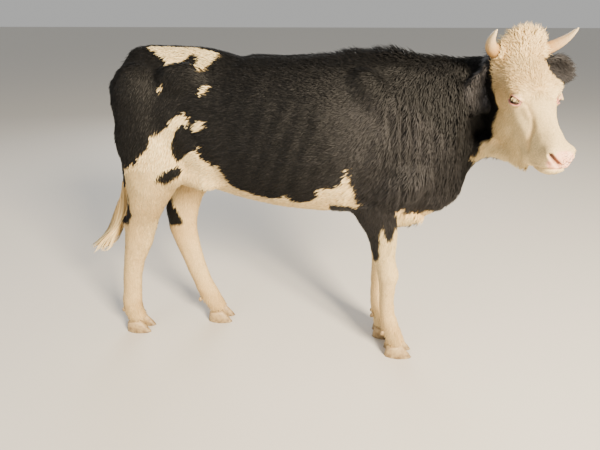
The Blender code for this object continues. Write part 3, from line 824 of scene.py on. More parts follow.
# ---------------- how the coat grows
@dataclass
class Growth:
    """How long the hair is, which way it lies and how far it stands off, everywhere on her."""

    head: HeadFrame
    noise: Noise = Noise(23)
    whorl: tuple = (0.165, 0.0)  # on the forehead, along and to the left
    ear_length: float = 0.028
    tail_length: float = 0.026
    ear_depth: float = 0.0022  # from the tips down to the ears' skin
    ear_root: tuple = (0.006, -0.052, 0.090)  # along, out and to the side
    ear_ways: tuple = ((0.60, -0.76, -0.24), (0.10, -0.24, 0.97))  # the right one droops
    spine: tuple = ((-0.05, 0.10, 0.25, 0.40, 0.60), (1.175, 1.178, 1.185, 1.180, 1.190))

    def crest(self, points: Array) -> Array:
        """1 along the top of the neck and withers, where the hair stands up, and 0 elsewhere."""
        x, _, z = points.T
        top = np.interp(x, *self.spine)
        return ease(top - 0.035, top + 0.010, z) * ease(0.02, 0.14, x)

    def length(self, points: Array, part: Array) -> Array:
        """Length of the hair in metres at each point.

        Args:
            points: one to a row.
            part: the Part of each.

        Returns:
            One length for each point.
        """
        x, _, z = points.T
        along, out, _ = self.head.local(points).T
        body = 0.024 + 0.009 * ease(0.10, 0.46, x)
        body = body + 0.022 * self.crest(points) + 0.006 * ease(0.70, 0.62, z)
        leg = 0.013 + 0.011 * ease(0.35, 0.70, z) + 0.015 * ease(0.17, 0.12, z)
        face = 0.010 + 0.010 * ease(-0.13, -0.21, out) + 0.012 * ease(0.24, 0.14, along)
        poll = ease(0.13, 0.02, along) * ease(-0.06, 0.0, out)
        eyes = [Eye(self.head, side).reach(points)[1] for side in SIDES]
        off_eye = ease(0.022, 0.040, np.minimum(*eyes))
        near_muzzle = ease(0.30, 0.36, along)
        face = (face + 0.022 * poll) * (0.45 + 0.55 * off_eye) * (1.0 - 0.35 * near_muzzle)
        table = {
            Part.TRUNK: body,
            Part.NECK: body,
            Part.HEAD: face,
            Part.FORE_LEG: leg,
            Part.HIND_LEG: leg,
            Part.EAR: self.ear_length,
            Part.TAIL: self.tail_length,
        }
        return by_part(part, table)

    def rise(self, points: Array, part: Array) -> Array:
        """How steeply the hair leaves the skin.

        Args:
            points: one to a row.
            part: the Part of each.

        Returns:
            One angle for each point, in radians.
        """
        along, out, _ = self.head.local(points).T
        poll = ease(0.10, 0.0, along) * ease(-0.05, 0.02, out)
        forehead = ease(0.20, 0.10, along) * ease(-0.10, -0.03, out)
        body = 17 + 3 * ease(0.10, 0.46, points[:, 0]) + 22 * self.crest(points)
        table = {
            Part.TRUNK: body,
            Part.NECK: body,
            Part.HEAD: 16 + 10 * forehead + 16 * poll,
            Part.FORE_LEG: 17,
            Part.HIND_LEG: 17,
            Part.EAR: 30,
            Part.TAIL: 10,
        }
        return np.radians(by_part(part, table))

    def depth(self, points: Array, part: Array) -> Array:
        """How far the hide lies below the tips, in metres."""
        deep = self.length(points, part) * np.sin(self.rise(points, part))
        deep = deep * (1.0 - 0.55 * self.crest(points) * (part != Part.HEAD))
        return np.where(part == Part.EAR, self.ear_depth, np.maximum(deep, 0.002))

    def lie(self, points: Array, normals: Array, part: Array) -> Array:
        """Which way the hair lies on the skin.

        Args:
            points: one to a row.
            normals: the skin's outward directions there.
            part: the Part of each.

        Returns:
            One direction for each point, in the plane of the skin.
        """
        x = points[:, 0]
        level = np.zeros(len(points))
        ahead = ease(0.05, 0.50, x)
        thigh = ease(-0.28, -0.42, x)
        back = -1.0 + 0.55 * thigh + 0.5 * ahead
        body = np.stack([back, level, -(0.25 + 0.75 * ahead + 0.75 * thigh)], axis=1)
        local = self.head.local(points)
        away = np.stack([local[:, 0] - self.whorl[0], level, local[:, 2] - self.whorl[1]], axis=1)
        away[:, 1] = -0.25 * ease(-0.02, -0.15, local[:, 1])
        away[:, 0] += 0.010 * self.noise.at(points, 0.016)
        table = {
            Part.HEAD: unit(away) @ self.head.axes,
            Part.FORE_LEG: (-0.12, 0.0, -1.0),
            Part.HIND_LEG: (-0.12, 0.0, -1.0),
            Part.EAR: self.ear_lie(points),
            Part.TAIL: (-0.1, 0.0, -1.0),
        }
        way = body
        for kind, chosen in table.items():
            way = np.where((part == kind)[:, None], chosen, way)
        join = ease(0.02, -0.03, local[:, 0] + 0.5 * local[:, 1] + 0.06) * (part == Part.HEAD)
        way = unit(way) * (1 - join[:, None]) + unit(body) * join[:, None]
        flat = unit(way - normals * dots(way, normals))
        side = np.cross(normals, flat)
        loose = by_part(part, {Part.HEAD: 0.35, Part.NECK: 0.16}, 0.22)
        swing = loose * (self.noise.at(points, 0.07) + 0.6 * self.noise.at(points, 0.025))
        return unit(flat * np.cos(swing)[:, None] + side * np.sin(swing)[:, None])

    def ear_roots(self) -> Array:
        """The middles of the right and of the left ear's root."""
        along, out, aside = self.ear_root
        return np.array([self.head.world((along, out, side * aside)) for side in SIDES])

    def nearer_ear(self, points: Array) -> Array:
        """0 for points nearer the right ear's root, 1 for those nearer the left one's."""
        right, left = (np.linalg.norm(points - root, axis=1) for root in self.ear_roots())
        return (left <= right).astype(int)

    def ear_lie(self, points: Array) -> Array:
        """From the root of the nearer ear out to its tip."""
        ways = np.array([self.head.direction(*way) for way in self.ear_ways])
        return ways[self.nearer_ear(points)]

    def ear_cup(self, points: Array, normals: Array) -> Array:
        """Where the hollow on the inner face of an ear is.

        Args:
            points: one to a row.
            normals: the skin's outward directions there.

        Returns:
            1 in the hollow, 0 outside it.
        """
        nearer = self.nearer_ear(points)
        reach = self.ear_lie(points)
        opens = np.array([self.head.direction(0.85, 0.25, side * 0.30) for side in SIDES])[nearer]
        opens = unit(opens - reach * dots(opens, reach))
        offset = points - self.ear_roots()[nearer]
        far = dots(offset, reach)
        aside = np.linalg.norm(offset - far * reach, axis=1)
        middle = ease(0.018, 0.008, aside) * ease(0.02, 0.04, far[:, 0])
        middle = middle * ease(0.105, 0.080, far[:, 0])
        return ease(0.35, 0.85, dots(normals, opens)[:, 0]) * middle


# ---------------- hide
def merged_copy(node: str) -> bmesh.types.BMesh:
    """A copy of a node's mesh, with its loose triangles joined up.

    Args:
        node: its name.

    Returns:
        The copy.
    """
    bm = bmesh.new()
    bm.from_mesh(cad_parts[node].data)
    bmesh.ops.remove_doubles(bm, verts=bm.verts, dist=0.00005)
    return bm


def linked(name: str, data: bpy.types.ID) -> Object:
    """A new object of the scene, for a mesh, a light or a camera."""
    obj = bpy.data.objects.new(name, data)
    bpy.context.scene.collection.objects.link(obj)
    return obj


def mesh_object(name: str, bm: bmesh.types.BMesh) -> Object:
    """A bmesh as an object in the scene, smooth shaded.

    Args:
        name: the object's name.
        bm: its shape, which is freed.

    Returns:
        The object.
    """
    mesh = bpy.data.meshes.new(name)
    bm.to_mesh(mesh)
    bm.free()
    mesh.shade_smooth()
    return linked(name, mesh)


def read(items: object, name: str, width: int, kind: type = float) -> Array:
    """One property of all the items of a mesh's collection, width numbers to a row."""
    flat = np.empty(len(items) * width, kind)
    items.foreach_get(name, flat)
    return flat.reshape(-1, width)


def coordinates(mesh: Mesh) -> Array:
    """The places of a mesh's points."""
    return read(mesh.vertices, "co", 3)


def point_normals(mesh: Mesh) -> Array:
    """The outward directions at a mesh's points."""
    return read(mesh.vertex_normals, "vector", 3, np.float32).astype(float)


def put(mesh: Mesh, points: Array) -> None:
    """Moves a mesh's points to these places."""
    mesh.vertices.foreach_set("co", points.ravel())
    mesh.update()


def store(mesh: Mesh, name: str, values: Array) -> None:
    """Keeps a number for each point of the mesh, for its material to read."""
    made = mesh.attributes.new(name, "FLOAT", "POINT")
    made.data.foreach_set("value", np.asarray(values, np.float32))


def surface_of(obj: Object) -> BVHTree:
    """A search tree over an object's faces.

    Args:
        obj: the object.

    Returns:
        The tree.
    """
    bm = bmesh.new()
    bm.from_mesh(obj.data)
    tree = BVHTree.FromBMesh(bm)
    bm.free()
    return tree


def evened(mesh: Mesh, strength: Array, passes: int) -> None:
    """Evens out a surface, each pass in and out again so that it keeps its size.

    Args:
        mesh: the mesh to change.
        strength: for each point, how far it goes towards its neighbours' middle in one pass.
        passes: how many times.
    """
    ends = read(mesh.edges, "vertices", 2, int)
    count = len(mesh.vertices)
    degree = np.maximum(np.bincount(ends.ravel(), minlength=count), 1)[:, None]
    points = coordinates(mesh)
    for _ in range(passes):
        for share in (1.0, -0.85):
            total = np.zeros_like(points)
            for axis in range(3):
                for here, there in (ends.T, ends.T[::-1]):
                    total[:, axis] += np.bincount(here, points[there, axis], count)
            points += share * strength[:, None] * (total / degree - points)
    put(mesh, points)


def halve_faces(mesh: Mesh, near: Array) -> None:
    """Halves the edges of a mesh whose two points are both marked.

    Args:
        mesh: the mesh to change.
        near: for each point, whether it is marked.
    """
    bm = bmesh.new()
    bm.from_mesh(mesh)
    bm.verts.ensure_lookup_table()
    edges = [e for e in bm.edges if near[e.verts[0].index] and near[e.verts[1].index]]
    bmesh.ops.subdivide_edges(bm, edges=edges, cuts=1, use_grid_fill=True)
    bmesh.ops.triangulate(bm, faces=[f for f in bm.faces if len(f.verts) > 4])
    bm.to_mesh(mesh)
    bm.free()


@dataclass
class HideSkin:
    """The hide: all the flesh as one surface, inside the solids by the depth of the coat."""

    head: HeadFrame
    growth: Growth
    markings: Markings
    grain: float = 0.0078  # edge of a face on the body, halved on head and ears
    muzzle_from: float = 0.33  # how far along the face the faces are halved once more
    eye_round: float = 0.045  # and how far round each eye
    swell: float = 0.0004  # closes the cuts between the nodes
    horn_core: float = 0.0225  # fills the socket at each horn's root
    eye_core: float = 0.0215  # and the one round each eye
    eye_core_in: float = 0.004  # how far behind the eyeball's middle
    soft_edge: float = 0.004  # half the width of a marking's edge on the skin
    obj: Object = field(init=False)
    part: Array = field(init=False)
    outward: Array = field(init=False)  # directions out of the hide as if it had no eye sockets

    def melted(self) -> Object:
        """Joins all the fleshy nodes and the cores of eyes and horns.

        Returns:
            One closed surface round them.
        """
        whole = bmesh.new()
        for node in FLESH:
            bm = merged_copy(node)
            bm.normal_update()
            for vert in bm.verts:
                vert.co += vert.normal * self.swell
            passing = bpy.data.meshes.new("passing")
            bm.to_mesh(passing)
            bm.free()
            whole.from_mesh(passing)
            bpy.data.meshes.remove(passing)
        for side in SIDES:
            eye = Eye(self.head, side)
            cores = {
                self.horn_core: self.head.world((-0.012, -0.006, side * 0.074)),
                self.eye_core: eye.centre() - eye.axis() * self.eye_core_in,
            }
            for radius, place in cores.items():
                ball = {"u_segments": 20, "v_segments": 12, "radius": radius}
                bmesh.ops.create_uvsphere(whole, matrix=Matrix.Translation(place), **ball)
        obj = mesh_object("hide", whole)
        remesh = obj.modifiers.new("melt", "REMESH")
        remesh.mode = "VOXEL"
        remesh.voxel_size = self.grain
        graph = bpy.context.evaluated_depsgraph_get()
        melted = bpy.data.meshes.new_from_object(obj.evaluated_get(graph))
        obj.modifiers.clear()
        obj.data = melted
        return obj

    def parts_at(self, points: Array) -> Array:
        """Looks up the Part of the solid nearest to each point.

        Args:
            points: one to a row.

        Returns:
            One Part for each point.
        """
        corners = []
        faces = []
        kinds = []
        for node, kind in FLESH.items():
            bm = merged_copy(node)
            start = len(corners)
            corners += [tuple(v.co) for v in bm.verts]
            faces += [[start + v.index for v in f.verts] for f in bm.faces]
            kinds += [int(kind)] * len(bm.faces)
            bm.free()
        tree = BVHTree.FromPolygons(corners, faces)
        return np.array([kinds[tree.find_nearest(point)[2]] for point in points.tolist()])

    def build(self) -> Object:
        """Makes the hide's shape, before the folds and features are worked in.

        Returns:
            The hide.
        """
        self.obj = self.melted()
        mesh = self.obj.data
        part = self.parts_at(coordinates(mesh))
        evened(mesh, by_part(part, {Part.EAR: 0.25, Part.HEAD: 0.4, Part.TAIL: 0.4}, 0.62), 12)
        halve_faces(mesh, np.isin(part, (Part.HEAD, Part.EAR)))
        points = coordinates(mesh)
        local = self.head.local(points)
        muzzle = (local[:, 0] > self.muzzle_from) & (np.linalg.norm(local, axis=1) < 0.6)
        middles = [middle_of(f"eye_{side_name(side)}") for side in SIDES]
        eyes = [np.linalg.norm(points - middle, axis=1) for middle in middles]
        halve_faces(mesh, (np.minimum(*eyes) < self.eye_round) | muzzle)
        points = coordinates(mesh)
        self.part = self.parts_at(points)
        evened(mesh, by_part(self.part, {Part.HEAD: 0.5}), 4)
        points = coordinates(mesh)
        deep = self.growth.depth(points, self.part)
        put(mesh, points - point_normals(mesh) * deep[:, None])
        evened(mesh, np.full(len(points), 0.35), 3)
        LOG.info("hide: %d faces", len(mesh.polygons))
        return self.obj

    def dress(self) -> None:
        """Stores the markings and gives the hide its material."""
        mesh = self.obj.data
        points = coordinates(mesh)
        _, out, left = self.head.local(points).T
        store(mesh, "white", self.markings.white(points, self.part, self.soft_edge))
        store(mesh, "dust", self.markings.dust(points, self.part))
        on_head = self.part == Part.HEAD
        bare = ease(-0.002, 0.003, self.head.muzzle(points)) * on_head
        store(mesh, "bare", bare)
        # painted shade inside each nostril
        hollow = np.zeros(len(points))
        for side in SIDES:
            hollow = np.maximum(hollow, Nostril(self.head, side).inside(points))
        store(mesh, "hollow", hollow * on_head)
        speckle = ease(-0.046, -0.060, out) * ease(-0.012, 0.002, left)
        store(mesh, "speckle", speckle * bare)
        mesh.materials.clear()
        mesh.materials.append(Hide().build())


# ---------------- strokes on the hide
@dataclass
class Nostril:
    """One nostril: a comma-shaped opening that slants in towards the lip."""

    head: HeadFrame
    side: int
    outer: tuple = (0.400, -0.058, 0.041)
    inner: tuple = (0.424, -0.079, 0.013)
    half_width: float = 0.0055
    deep: float = 0.014
    wing_gap: float = 0.011  # from the opening's middle line out to the raised wing
    wing_high: float = 0.0022

    def line(self) -> tuple:
        """The two ends of the opening's middle line, as world places."""
        ends = (self.outer, self.inner)
        return tuple(self.head.world((along, out, self.side * left)) for along, out, left in ends)

    def inward(self) -> Array:
        """The way the opening goes into the muzzle."""
        return self.head.direction(-1.0, 0.0, -0.35 * self.side)

    def gap(self, points: Array) -> Array:
        """Distance from the opening's middle line, across the face of the muzzle.

        Args:
            points: one to a row.

        Returns:
            One distance for each point.
        """
        start, end = self.line()
        inward = self.inward()
        edge = end - start
        offset = points - start
        share = np.clip(offset @ edge / (edge @ edge), 0.0, 1.0)
        away = offset - share[:, None] * edge
        away = away - np.outer(away @ inward, inward)
        return np.linalg.norm(away, axis=1)

    def near(self, points: Array) -> Array:
        """1 at the muzzle's front, falling to 0 behind it."""
        return ease(0.36, 0.38, self.head.local(points)[:, 0])

    def inside(self, points: Array) -> Array:
        """1 well inside the opening, 0 outside it."""
        share = self.gap(points) / self.half_width
        return ease(1.2, 0.4, share) * self.near(points)

    def work(self, points: Array) -> Array:
        """Presses the nostril in and raises its wing.

        Args:
            points: one to a row.

        Returns:
            The moved points.
        """
        gap = self.gap(points)
        pit = ease(self.half_width * 1.5, 0.0, gap) * self.near(points)
        wing = bell(gap - self.wing_gap, 0.005) * self.near(points)
        return points + self.inward() * (pit * self.deep - wing * self.wing_high)[:, None]


@dataclass
class Strokes:
    """What is worked into the hide: folds, hollows and edges."""

    head: HeadFrame
    noise: Noise = Noise(41)

    def neck_folds(self, points: Array, part: Array) -> Array:
        """Upright folds down the right of the neck, where it bends, and fine ones on the left.

        Args:
            points: one to a row.
            part: the Part of each.

        Returns:
            How far each point moves out, in metres.
        """
        x, y, z = points.T
        level = x + 0.10 * (z - 0.9) + 0.022 * self.noise.at(points * (1.0, 1.0, 0.3), 0.08)
        wave = np.sin(2 * math.pi * level / 0.034)
        fold = np.sign(wave) * np.abs(wave) ** 0.7
        zone = ease(0.27, 0.36, x) * ease(0.66, 0.62, x)
        zone = zone * ease(1.16, 1.02, z) * ease(0.68, 0.76, z)
        zone = zone * np.isin(part, (Part.NECK, Part.TRUNK))
        right = ease(0.02, -0.05, y)
        strength = 0.0045 * right + 0.0012 * (1 - right)
        uneven = 0.6 + 0.5 * self.noise.at(points, 0.12)
        return fold * zone * strength * uneven

    def body_lumps(self, points: Array, part: Array) -> Array:
        """A slight unevenness of muscle and coat, ribs and the folds of flank and elbow.

        Args:
            points: one to a row.
            part: the Part of each.

        Returns:
            How far each point moves out, in metres.
        """
        x, _, z = points.T
        trunk = (part == Part.TRUNK)
        lumps = 0.0035 * self.noise.at(points, 0.13) + 0.0018 * self.noise.at(points, 0.05)
        ribs = np.sin(2 * math.pi * (x - 0.35 * (z - 0.9)) / 0.062) * 0.0014
        zone = ease(-0.20, -0.05, x) * ease(0.16, 0.05, x)
        zone = zone * ease(0.72, 0.80, z) * ease(1.08, 1.0, z)
        furrow = bell(x + 0.27 + 0.55 * (z - 0.85), 0.030)
        furrow = furrow * ease(0.72, 0.80, z) * ease(1.05, 0.95, z)
        elbow = bell(x - 0.235 - 0.25 * (z - 0.80), 0.022)
        elbow = elbow * ease(0.68, 0.74, z) * ease(0.98, 0.88, z)
        return trunk * (lumps + ribs * zone - 0.006 * furrow - 0.005 * elbow)

    def leg_lines(self, points: Array, part: Array) -> Array:
        """The hollow in front of each hock's cord, and a slight unevenness of the legs.

        Args:
            points: one to a row.
            part: the Part of each.

        Returns:
            How far each point moves out, in metres.
        """
        x, y, z = points.T
        legs = np.isin(part, LEGS)
        hind = (part == Part.HIND_LEG)
        cord = np.where(y < 0, -0.655 + 0.30 * (z - 0.62), -0.548 + 0.12 * (z - 0.60))
        hollow = bell(x - cord, 0.014) * ease(0.56, 0.60, z) * ease(0.72, 0.66, z)
        lumps = 0.0012 * self.noise.at(points, 0.035)
        return legs * lumps - hind * 0.006 * hollow

    def head_work(self, points: Array, normals: Array, part: Array) -> Array:
        """Facial crest, mouth, lips, chin, cheek, the fold of the brow and the notch of the jaw.

        Args:
            points: one to a row.
            normals: the outward directions there.
            part: the Part of each.

        Returns:
            The moved points.
        """
        along, out, left = self.head.local(points).T
        side = np.abs(left)
        on_head = (part == Part.HEAD)
        move = np.zeros(len(points))
        crest_line = -0.075 - 0.25 * (along - 0.20)
        ridge = bell(out - crest_line, 0.014) * ease(0.18, 0.22, along)
        ridge = ridge * ease(0.33, 0.28, along) * ease(0.02, 0.04, side)
        move += 0.0035 * ridge
        under_eye = bell(out - crest_line - 0.030, 0.014)
        under_eye = under_eye * ease(0.19, 0.23, along) * ease(0.34, 0.28, along)
        move -= 0.0035 * under_eye * ease(0.025, 0.045, side)
        mouth_level = -0.100 - 0.80 * (0.424 - along)
        mouth = bell(out - mouth_level, 0.0045) * ease(0.345, 0.365, along)
        move -= 0.0055 * mouth
        lip = bell(out - mouth_level - 0.013, 0.007) * ease(0.34, 0.37, along)
        move += 0.0018 * lip
        chin = bell(out - mouth_level + 0.018, 0.011) * ease(0.34, 0.37, along)
        move += 0.0020 * chin
        cheek = bell(along - 0.225, 0.016)
        cheek = cheek * ease(-0.20, -0.15, out) * ease(-0.10, -0.13, out)
        move -= 0.0035 * cheek
        brow = bell(along - 0.128 + 0.35 * (out + 0.02), 0.006) * ease(0.045, 0.06, side)
        brow = brow * ease(-0.07, -0.04, out) * ease(0.02, 0.0, out)
        move -= 0.0025 * brow
        groove = bell(left, 0.004) * ease(0.39, 0.41, along) * ease(-0.06, -0.08, out)
        move -= 0.0020 * groove
        notch = mound(along - 0.324, 0.024, out + 0.162, 0.028)
        jowl = mound(along - 0.294, 0.034, out + 0.218, 0.026)
        move += 0.012 * notch - 0.012 * jowl
        move -= 0.0042 * bell(self.head.crease_gap(points), 0.0075)
        return points + normals * (move * on_head)[:, None]

    def throat(self, points: Array, part: Array) -> Array:
        """The loose skin under the throat, which hangs a little below the bone.

        Args:
            points: one to a row.
            part: the Part of each.

        Returns:
            How far each point moves out, in metres.
        """
        along, out, left = self.head.local(points).T
        loose = mound(along - 0.205, 0.045, out + 0.262, 0.034)
        loose = loose * ease(0.075, 0.040, np.abs(left))
        return 0.009 * loose * np.isin(part, (Part.HEAD, Part.NECK))

    def sockets(self, points: Array) -> Array:
        """Presses the hide in behind each eyeball.

        Args:
            points: one to a row.

        Returns:
            The moved points.
        """
        for side in SIDES:
            eye = Eye(self.head, side)
            height, aside = eye.reach(points)
            near = ease(eye.radius * 1.04, eye.radius * 0.84, aside) * (height > 0)
            press = near * (np.minimum(height, eye.radius * 0.30) - height)
            points = points + np.outer(press, eye.axis())
        return points

    def work(self, skin: HideSkin) -> None:
        """Works every stroke into the hide.

        Args:
            skin: the hide, which keeps its outward directions from before the eyes' sockets.
        """
        mesh = skin.obj.data
        points = coordinates(mesh)
        normals = point_normals(mesh)
        move = self.neck_folds(points, skin.part) + self.body_lumps(points, skin.part)
        move = move + self.leg_lines(points, skin.part) + self.throat(points, skin.part)
        points = points + normals * move[:, None]
        points = self.head_work(points, normals, skin.part)
        on_head = (skin.part == Part.HEAD)[:, None]
        for side in SIDES:
            points = np.where(on_head, Nostril(self.head, side).work(points), points)
        put(mesh, points)
        skin.outward = point_normals(mesh)
        put(mesh, np.where(on_head, self.sockets(points), points))


# ---------------- tufts
@dataclass
class Roots:
    """Where a set of tufts grows: one row for each tuft."""

    place: Array
    normal: Array
    uv: Array
    part: Array

    def take(self, keep: Array) -> "Roots":
        """The roots that are kept."""
        return Roots(self.place[keep], self.normal[keep], self.uv[keep], self.part[keep])


@dataclass
class HideSurface:
    """The hide as arrays, to plant tufts on."""

    skin: HideSkin
    corners: Array = field(init=False)
    triangles: Array = field(init=False)
    normals: Array = field(init=False)
    uvs: Array = field(init=False)
    areas: Array = field(init=False)

    def __post_init__(self) -> None:
        """Unwraps the hide and reads its triangles."""
        obj = self.skin.obj
        bpy.context.view_layer.objects.active = obj
        obj.select_set(True)
        bpy.ops.object.mode_set(mode="EDIT")
        bpy.ops.mesh.select_all(action="SELECT")
        bpy.ops.uv.smart_project(angle_limit=math.radians(66), island_margin=0.004)
        bpy.ops.object.mode_set(mode="OBJECT")
        obj.select_set(False)
        mesh = obj.data
        mesh.calc_loop_triangles()
        self.triangles = read(mesh.loop_triangles, "vertices", 3, int)
        loops = read(mesh.loop_triangles, "loops", 3, int)
        self.uvs = read(mesh.uv_layers.active.data, "uv", 2)[loops]
        self.corners = coordinates(mesh)
        self.normals = self.skin.outward
        a, b, c = (self.corners[self.triangles[:, i]] for i in range(3))
        self.areas = np.linalg.norm(np.cross(b - a, c - a), axis=1) / 2

    def middles(self) -> Array:
        """The middle of each triangle."""
        return self.corners[self.triangles].mean(axis=1)

    def parts(self) -> Array:
        """The Part of each triangle."""
        return self.skin.part[self.triangles[:, 0]]

    def uv_at(self, points: Array) -> Array:
        """The unwrap's place for the hide nearest to each point."""
        tree = BVHTree.FromPolygons(self.corners.tolist(), self.triangles.tolist())
        nearest = [tree.find_nearest(point)[2] for point in points.tolist()]
        return self.uvs[nearest].mean(axis=1)

    def roots_on(self, place: Array, normal: Array, part: Part) -> Roots:
        """Roots of one Part at given places, with the unwrap's places of the hide below."""
        return Roots(place, normal, self.uv_at(place), np.full(len(place), part))

    def sow(self, spacing: Array, seed: int) -> Roots:
        """Scatters roots evenly.

        Args:
            spacing: for each triangle, metres between neighbouring roots, or 0 for none.
            seed: of the scattering.

        Returns:
            The roots.
        """
        rng = np.random.default_rng(seed)
        wanted = np.where(spacing > 0, self.areas / np.maximum(spacing, 1e-4) ** 2, 0.0)
        number = np.floor(wanted + rng.random(len(wanted))).astype(int)
        chosen = np.repeat(np.arange(len(wanted)), number)
        u, v = rng.random((2, len(chosen)))
        over = u + v > 1
        u, v = np.where(over, 1 - u, u), np.where(over, 1 - v, v)
        weights = np.stack([1 - u - v, u, v], axis=1)[:, :, None]
        ends = self.triangles[chosen]
        place = (self.corners[ends] * weights).sum(axis=1)
        normal = unit((self.normals[ends] * weights).sum(axis=1))
        uv = (self.uvs[chosen] * weights).sum(axis=1)
        return Roots(place, normal, uv, self.skin.part[ends[:, 0]])


COLOUR_NUMBERS = ("white", "tone", "fade_and_sheen", "dust")  # kept on a tuft's points for its material


@dataclass
class Tufts:
    """Many tapered locks as one mesh.

    Each direction has one row for each lock, and each number either that or one value for all.
    rise and settle are the angles at root and tip, sway and curl turn a lock aside.
    """

    roots: Roots
    way: Array
    length: Numbers
    width: Numbers
    rise: Numbers = 0.0
    settle: Numbers = 0.0
    sway: Numbers = 0.0
    curl: Numbers = 0.0
    white: Numbers = 1.0
    tone: Numbers = 0.5
    fade_and_sheen: Numbers = 0.0
    dust: Numbers = 0.0
    rings: int = 2
    sink: float = 0.0012
    patch: float = 0.003  # across each tuft's place on the unwrapped hide
    soft: float = 0.75  # how far the shading leans over to a lock's sides
    narrow: float = 0.55  # how much narrower it is before its tip

    def __post_init__(self) -> None:
        """Spreads a number that holds for all the locks over them."""
        numbers = ("length", "width", "rise", "settle", "sway", "curl", *COLOUR_NUMBERS)
        for name in numbers:
            setattr(self, name, np.broadcast_to(getattr(self, name), len(self.roots.place)))

    def centre_lines(self) -> tuple:
        """The middle line of each lock.

        Returns:
            Places and sideways directions, each as locks by steps by three.
        """
        steps = self.rings
        side = np.cross(self.roots.normal, self.way)
        place = self.roots.place - self.roots.normal * self.sink
        places = [place]
        sides = [side]
        for k in range(steps):
            share = (k + 0.5) / steps
            angle = self.rise * (1 - share) + self.settle * share
            swing = self.sway * share + self.curl * np.sin(2.2 * math.pi * share + self.tone * 6.0)
            ahead = self.way * np.cos(swing)[:, None] + side * np.sin(swing)[:, None]
            step = ahead * np.cos(angle)[:, None] + self.roots.normal * np.sin(angle)[:, None]
            place = place + step * (self.length / steps)[:, None]
            places.append(place)
            sides.append(unit(np.cross(self.roots.normal, ahead)))
        return np.stack(places, axis=1), np.stack(sides, axis=1)

    def build(self, name: str, finish: Material) -> Object:
        """Makes the mesh.

        Args:
            name: the object's name.
            finish: its material.

        Returns:
            The object.
        """
        places, sides = self.centre_lines()
        count, steps = len(places), self.rings
        normal = self.roots.normal[:, None, :]
        share = np.arange(steps) / steps
        taper = (1.0 - share**2.0 * self.narrow)[None, :, None]
        half = self.width[:, None, None] / 2 * taper
        line, across = places[:, :steps], sides[:, :steps]
        left = line - across * half
        right = line + across * half
        ridge = line + normal * half * 0.75
        rings = np.stack([left, right, ridge], axis=2).reshape(count, steps * 3, 3)
        points = np.concatenate([rings, places[:, steps:]], axis=1)
        bent = self.roots.normal + self.way * (self.tone - 0.5)[:, None] * 0.35
        base = np.repeat(unit(bent)[:, None, :], steps, axis=1)
        lefts = unit(base - across * self.soft)
        rights = unit(base + across * self.soft)
        shaded = np.stack([lefts, rights, base], axis=2).reshape(count, steps * 3, 3)
        end = unit(bent + 0.5 * self.way)[:, None, :]
        normals = np.concatenate([shaded, end], axis=1)
        return self.mesh(name, points, normals, finish)

    def faces(self) -> Array:
        """The triangles of one lock: its root, its three sides and its tip.

        Returns:
            Three corners to a row.
        """
        made = [(0, 2, 1)]
        for k in range(self.rings - 1):
            low, high = 3 * k, 3 * k + 3
            for i, j in ((0, 1), (1, 2), (2, 0)):
                made.append((low + i, high + j, high + i))
                made.append((low + i, low + j, high + j))
        last, tip = 3 * (self.rings - 1), 3 * self.rings
        for i, j in ((0, 1), (1, 2), (2, 0)):
            made.append((last + i, last + j, tip))
        return np.array(made)

    def mesh(self, name: str, points: Array, normals: Array, finish: Material):
        """Fills a mesh with the locks' arrays.

        Args:
            name: the object's name.
            points: locks by corners by three.
            normals: shading directions, in the same order.
            finish: the material.

        Returns:
            The object.
        """
        count, corners = points.shape[:2]
        index = (self.faces()[None] + (np.arange(count) * corners)[:, None, None]).reshape(-1)
        mesh = bpy.data.meshes.new(name)
        mesh.vertices.add(count * corners)
        mesh.vertices.foreach_set("co", points.ravel().astype(np.float32))
        mesh.loops.add(len(index))
        mesh.loops.foreach_set("vertex_index", index.astype(np.int32))
        mesh.polygons.add(len(index) // 3)
        mesh.polygons.foreach_set("loop_start", np.arange(0, len(index), 3, dtype=np.int32))
        mesh.update(calc_edges=True)
        tip = np.append(np.repeat(np.arange(self.rings) / self.rings, 3), 1.0)
        store(mesh, "tip", np.tile(tip, count))
        for label in COLOUR_NUMBERS:
            store(mesh, label, np.repeat(getattr(self, label), corners))
        sideways = np.append(np.tile((-0.5, 0.5, 0.0), self.rings), 0.0)
        spread = np.stack([np.tile(sideways, count), np.tile(tip - 0.5, count)], axis=1) * self.patch
        centre = np.clip(np.repeat(self.roots.uv, corners, axis=0), 0.002, 0.998)
        layer = mesh.uv_layers.new(name="OFBake")
        layer.data.foreach_set("uv", (centre + spread)[index].ravel().astype(np.float32))
        made = mesh.attributes.new("custom_normal", "FLOAT_VECTOR", "POINT")
        made.data.foreach_set("vector", normals.ravel().astype(np.float32))
        mesh.shade_smooth()
        mesh.materials.append(finish)
        return linked(name, mesh)


@dataclass
class LongLocks(Tufts):
    """Locks whose middle lines are given."""

    line: Array | None = None

    def centre_lines(self) -> tuple:
        """The given middle lines, and the directions across them."""
        ahead = unit(np.gradient(self.line, axis=1))
        side = unit(np.cross(self.roots.normal[:, None, :], ahead))
        return self.line, side


# ---------------- eyes, horns, claws
def smooth_through(knots: Array, values: Array, at: Array) -> Array:
    """A smooth curve through some values.

    Args:
        knots: where the values hold, evenly spaced.
        values: one for each knot.
        at: where to read the curve.

    Returns:
        The curve's values.
    """
    slopes = np.gradient(values, knots)
    low = np.clip(np.floor(at).astype(int), 0, len(knots) - 2)
    t = at - low
    first = (2 * t**3 - 3 * t**2 + 1) * values[low] + (t**3 - 2 * t**2 + t) * slopes[low]
    second = (-2 * t**3 + 3 * t**2) * values[low + 1] + (t**3 - t**2) * slopes[low + 1]
    return first + second


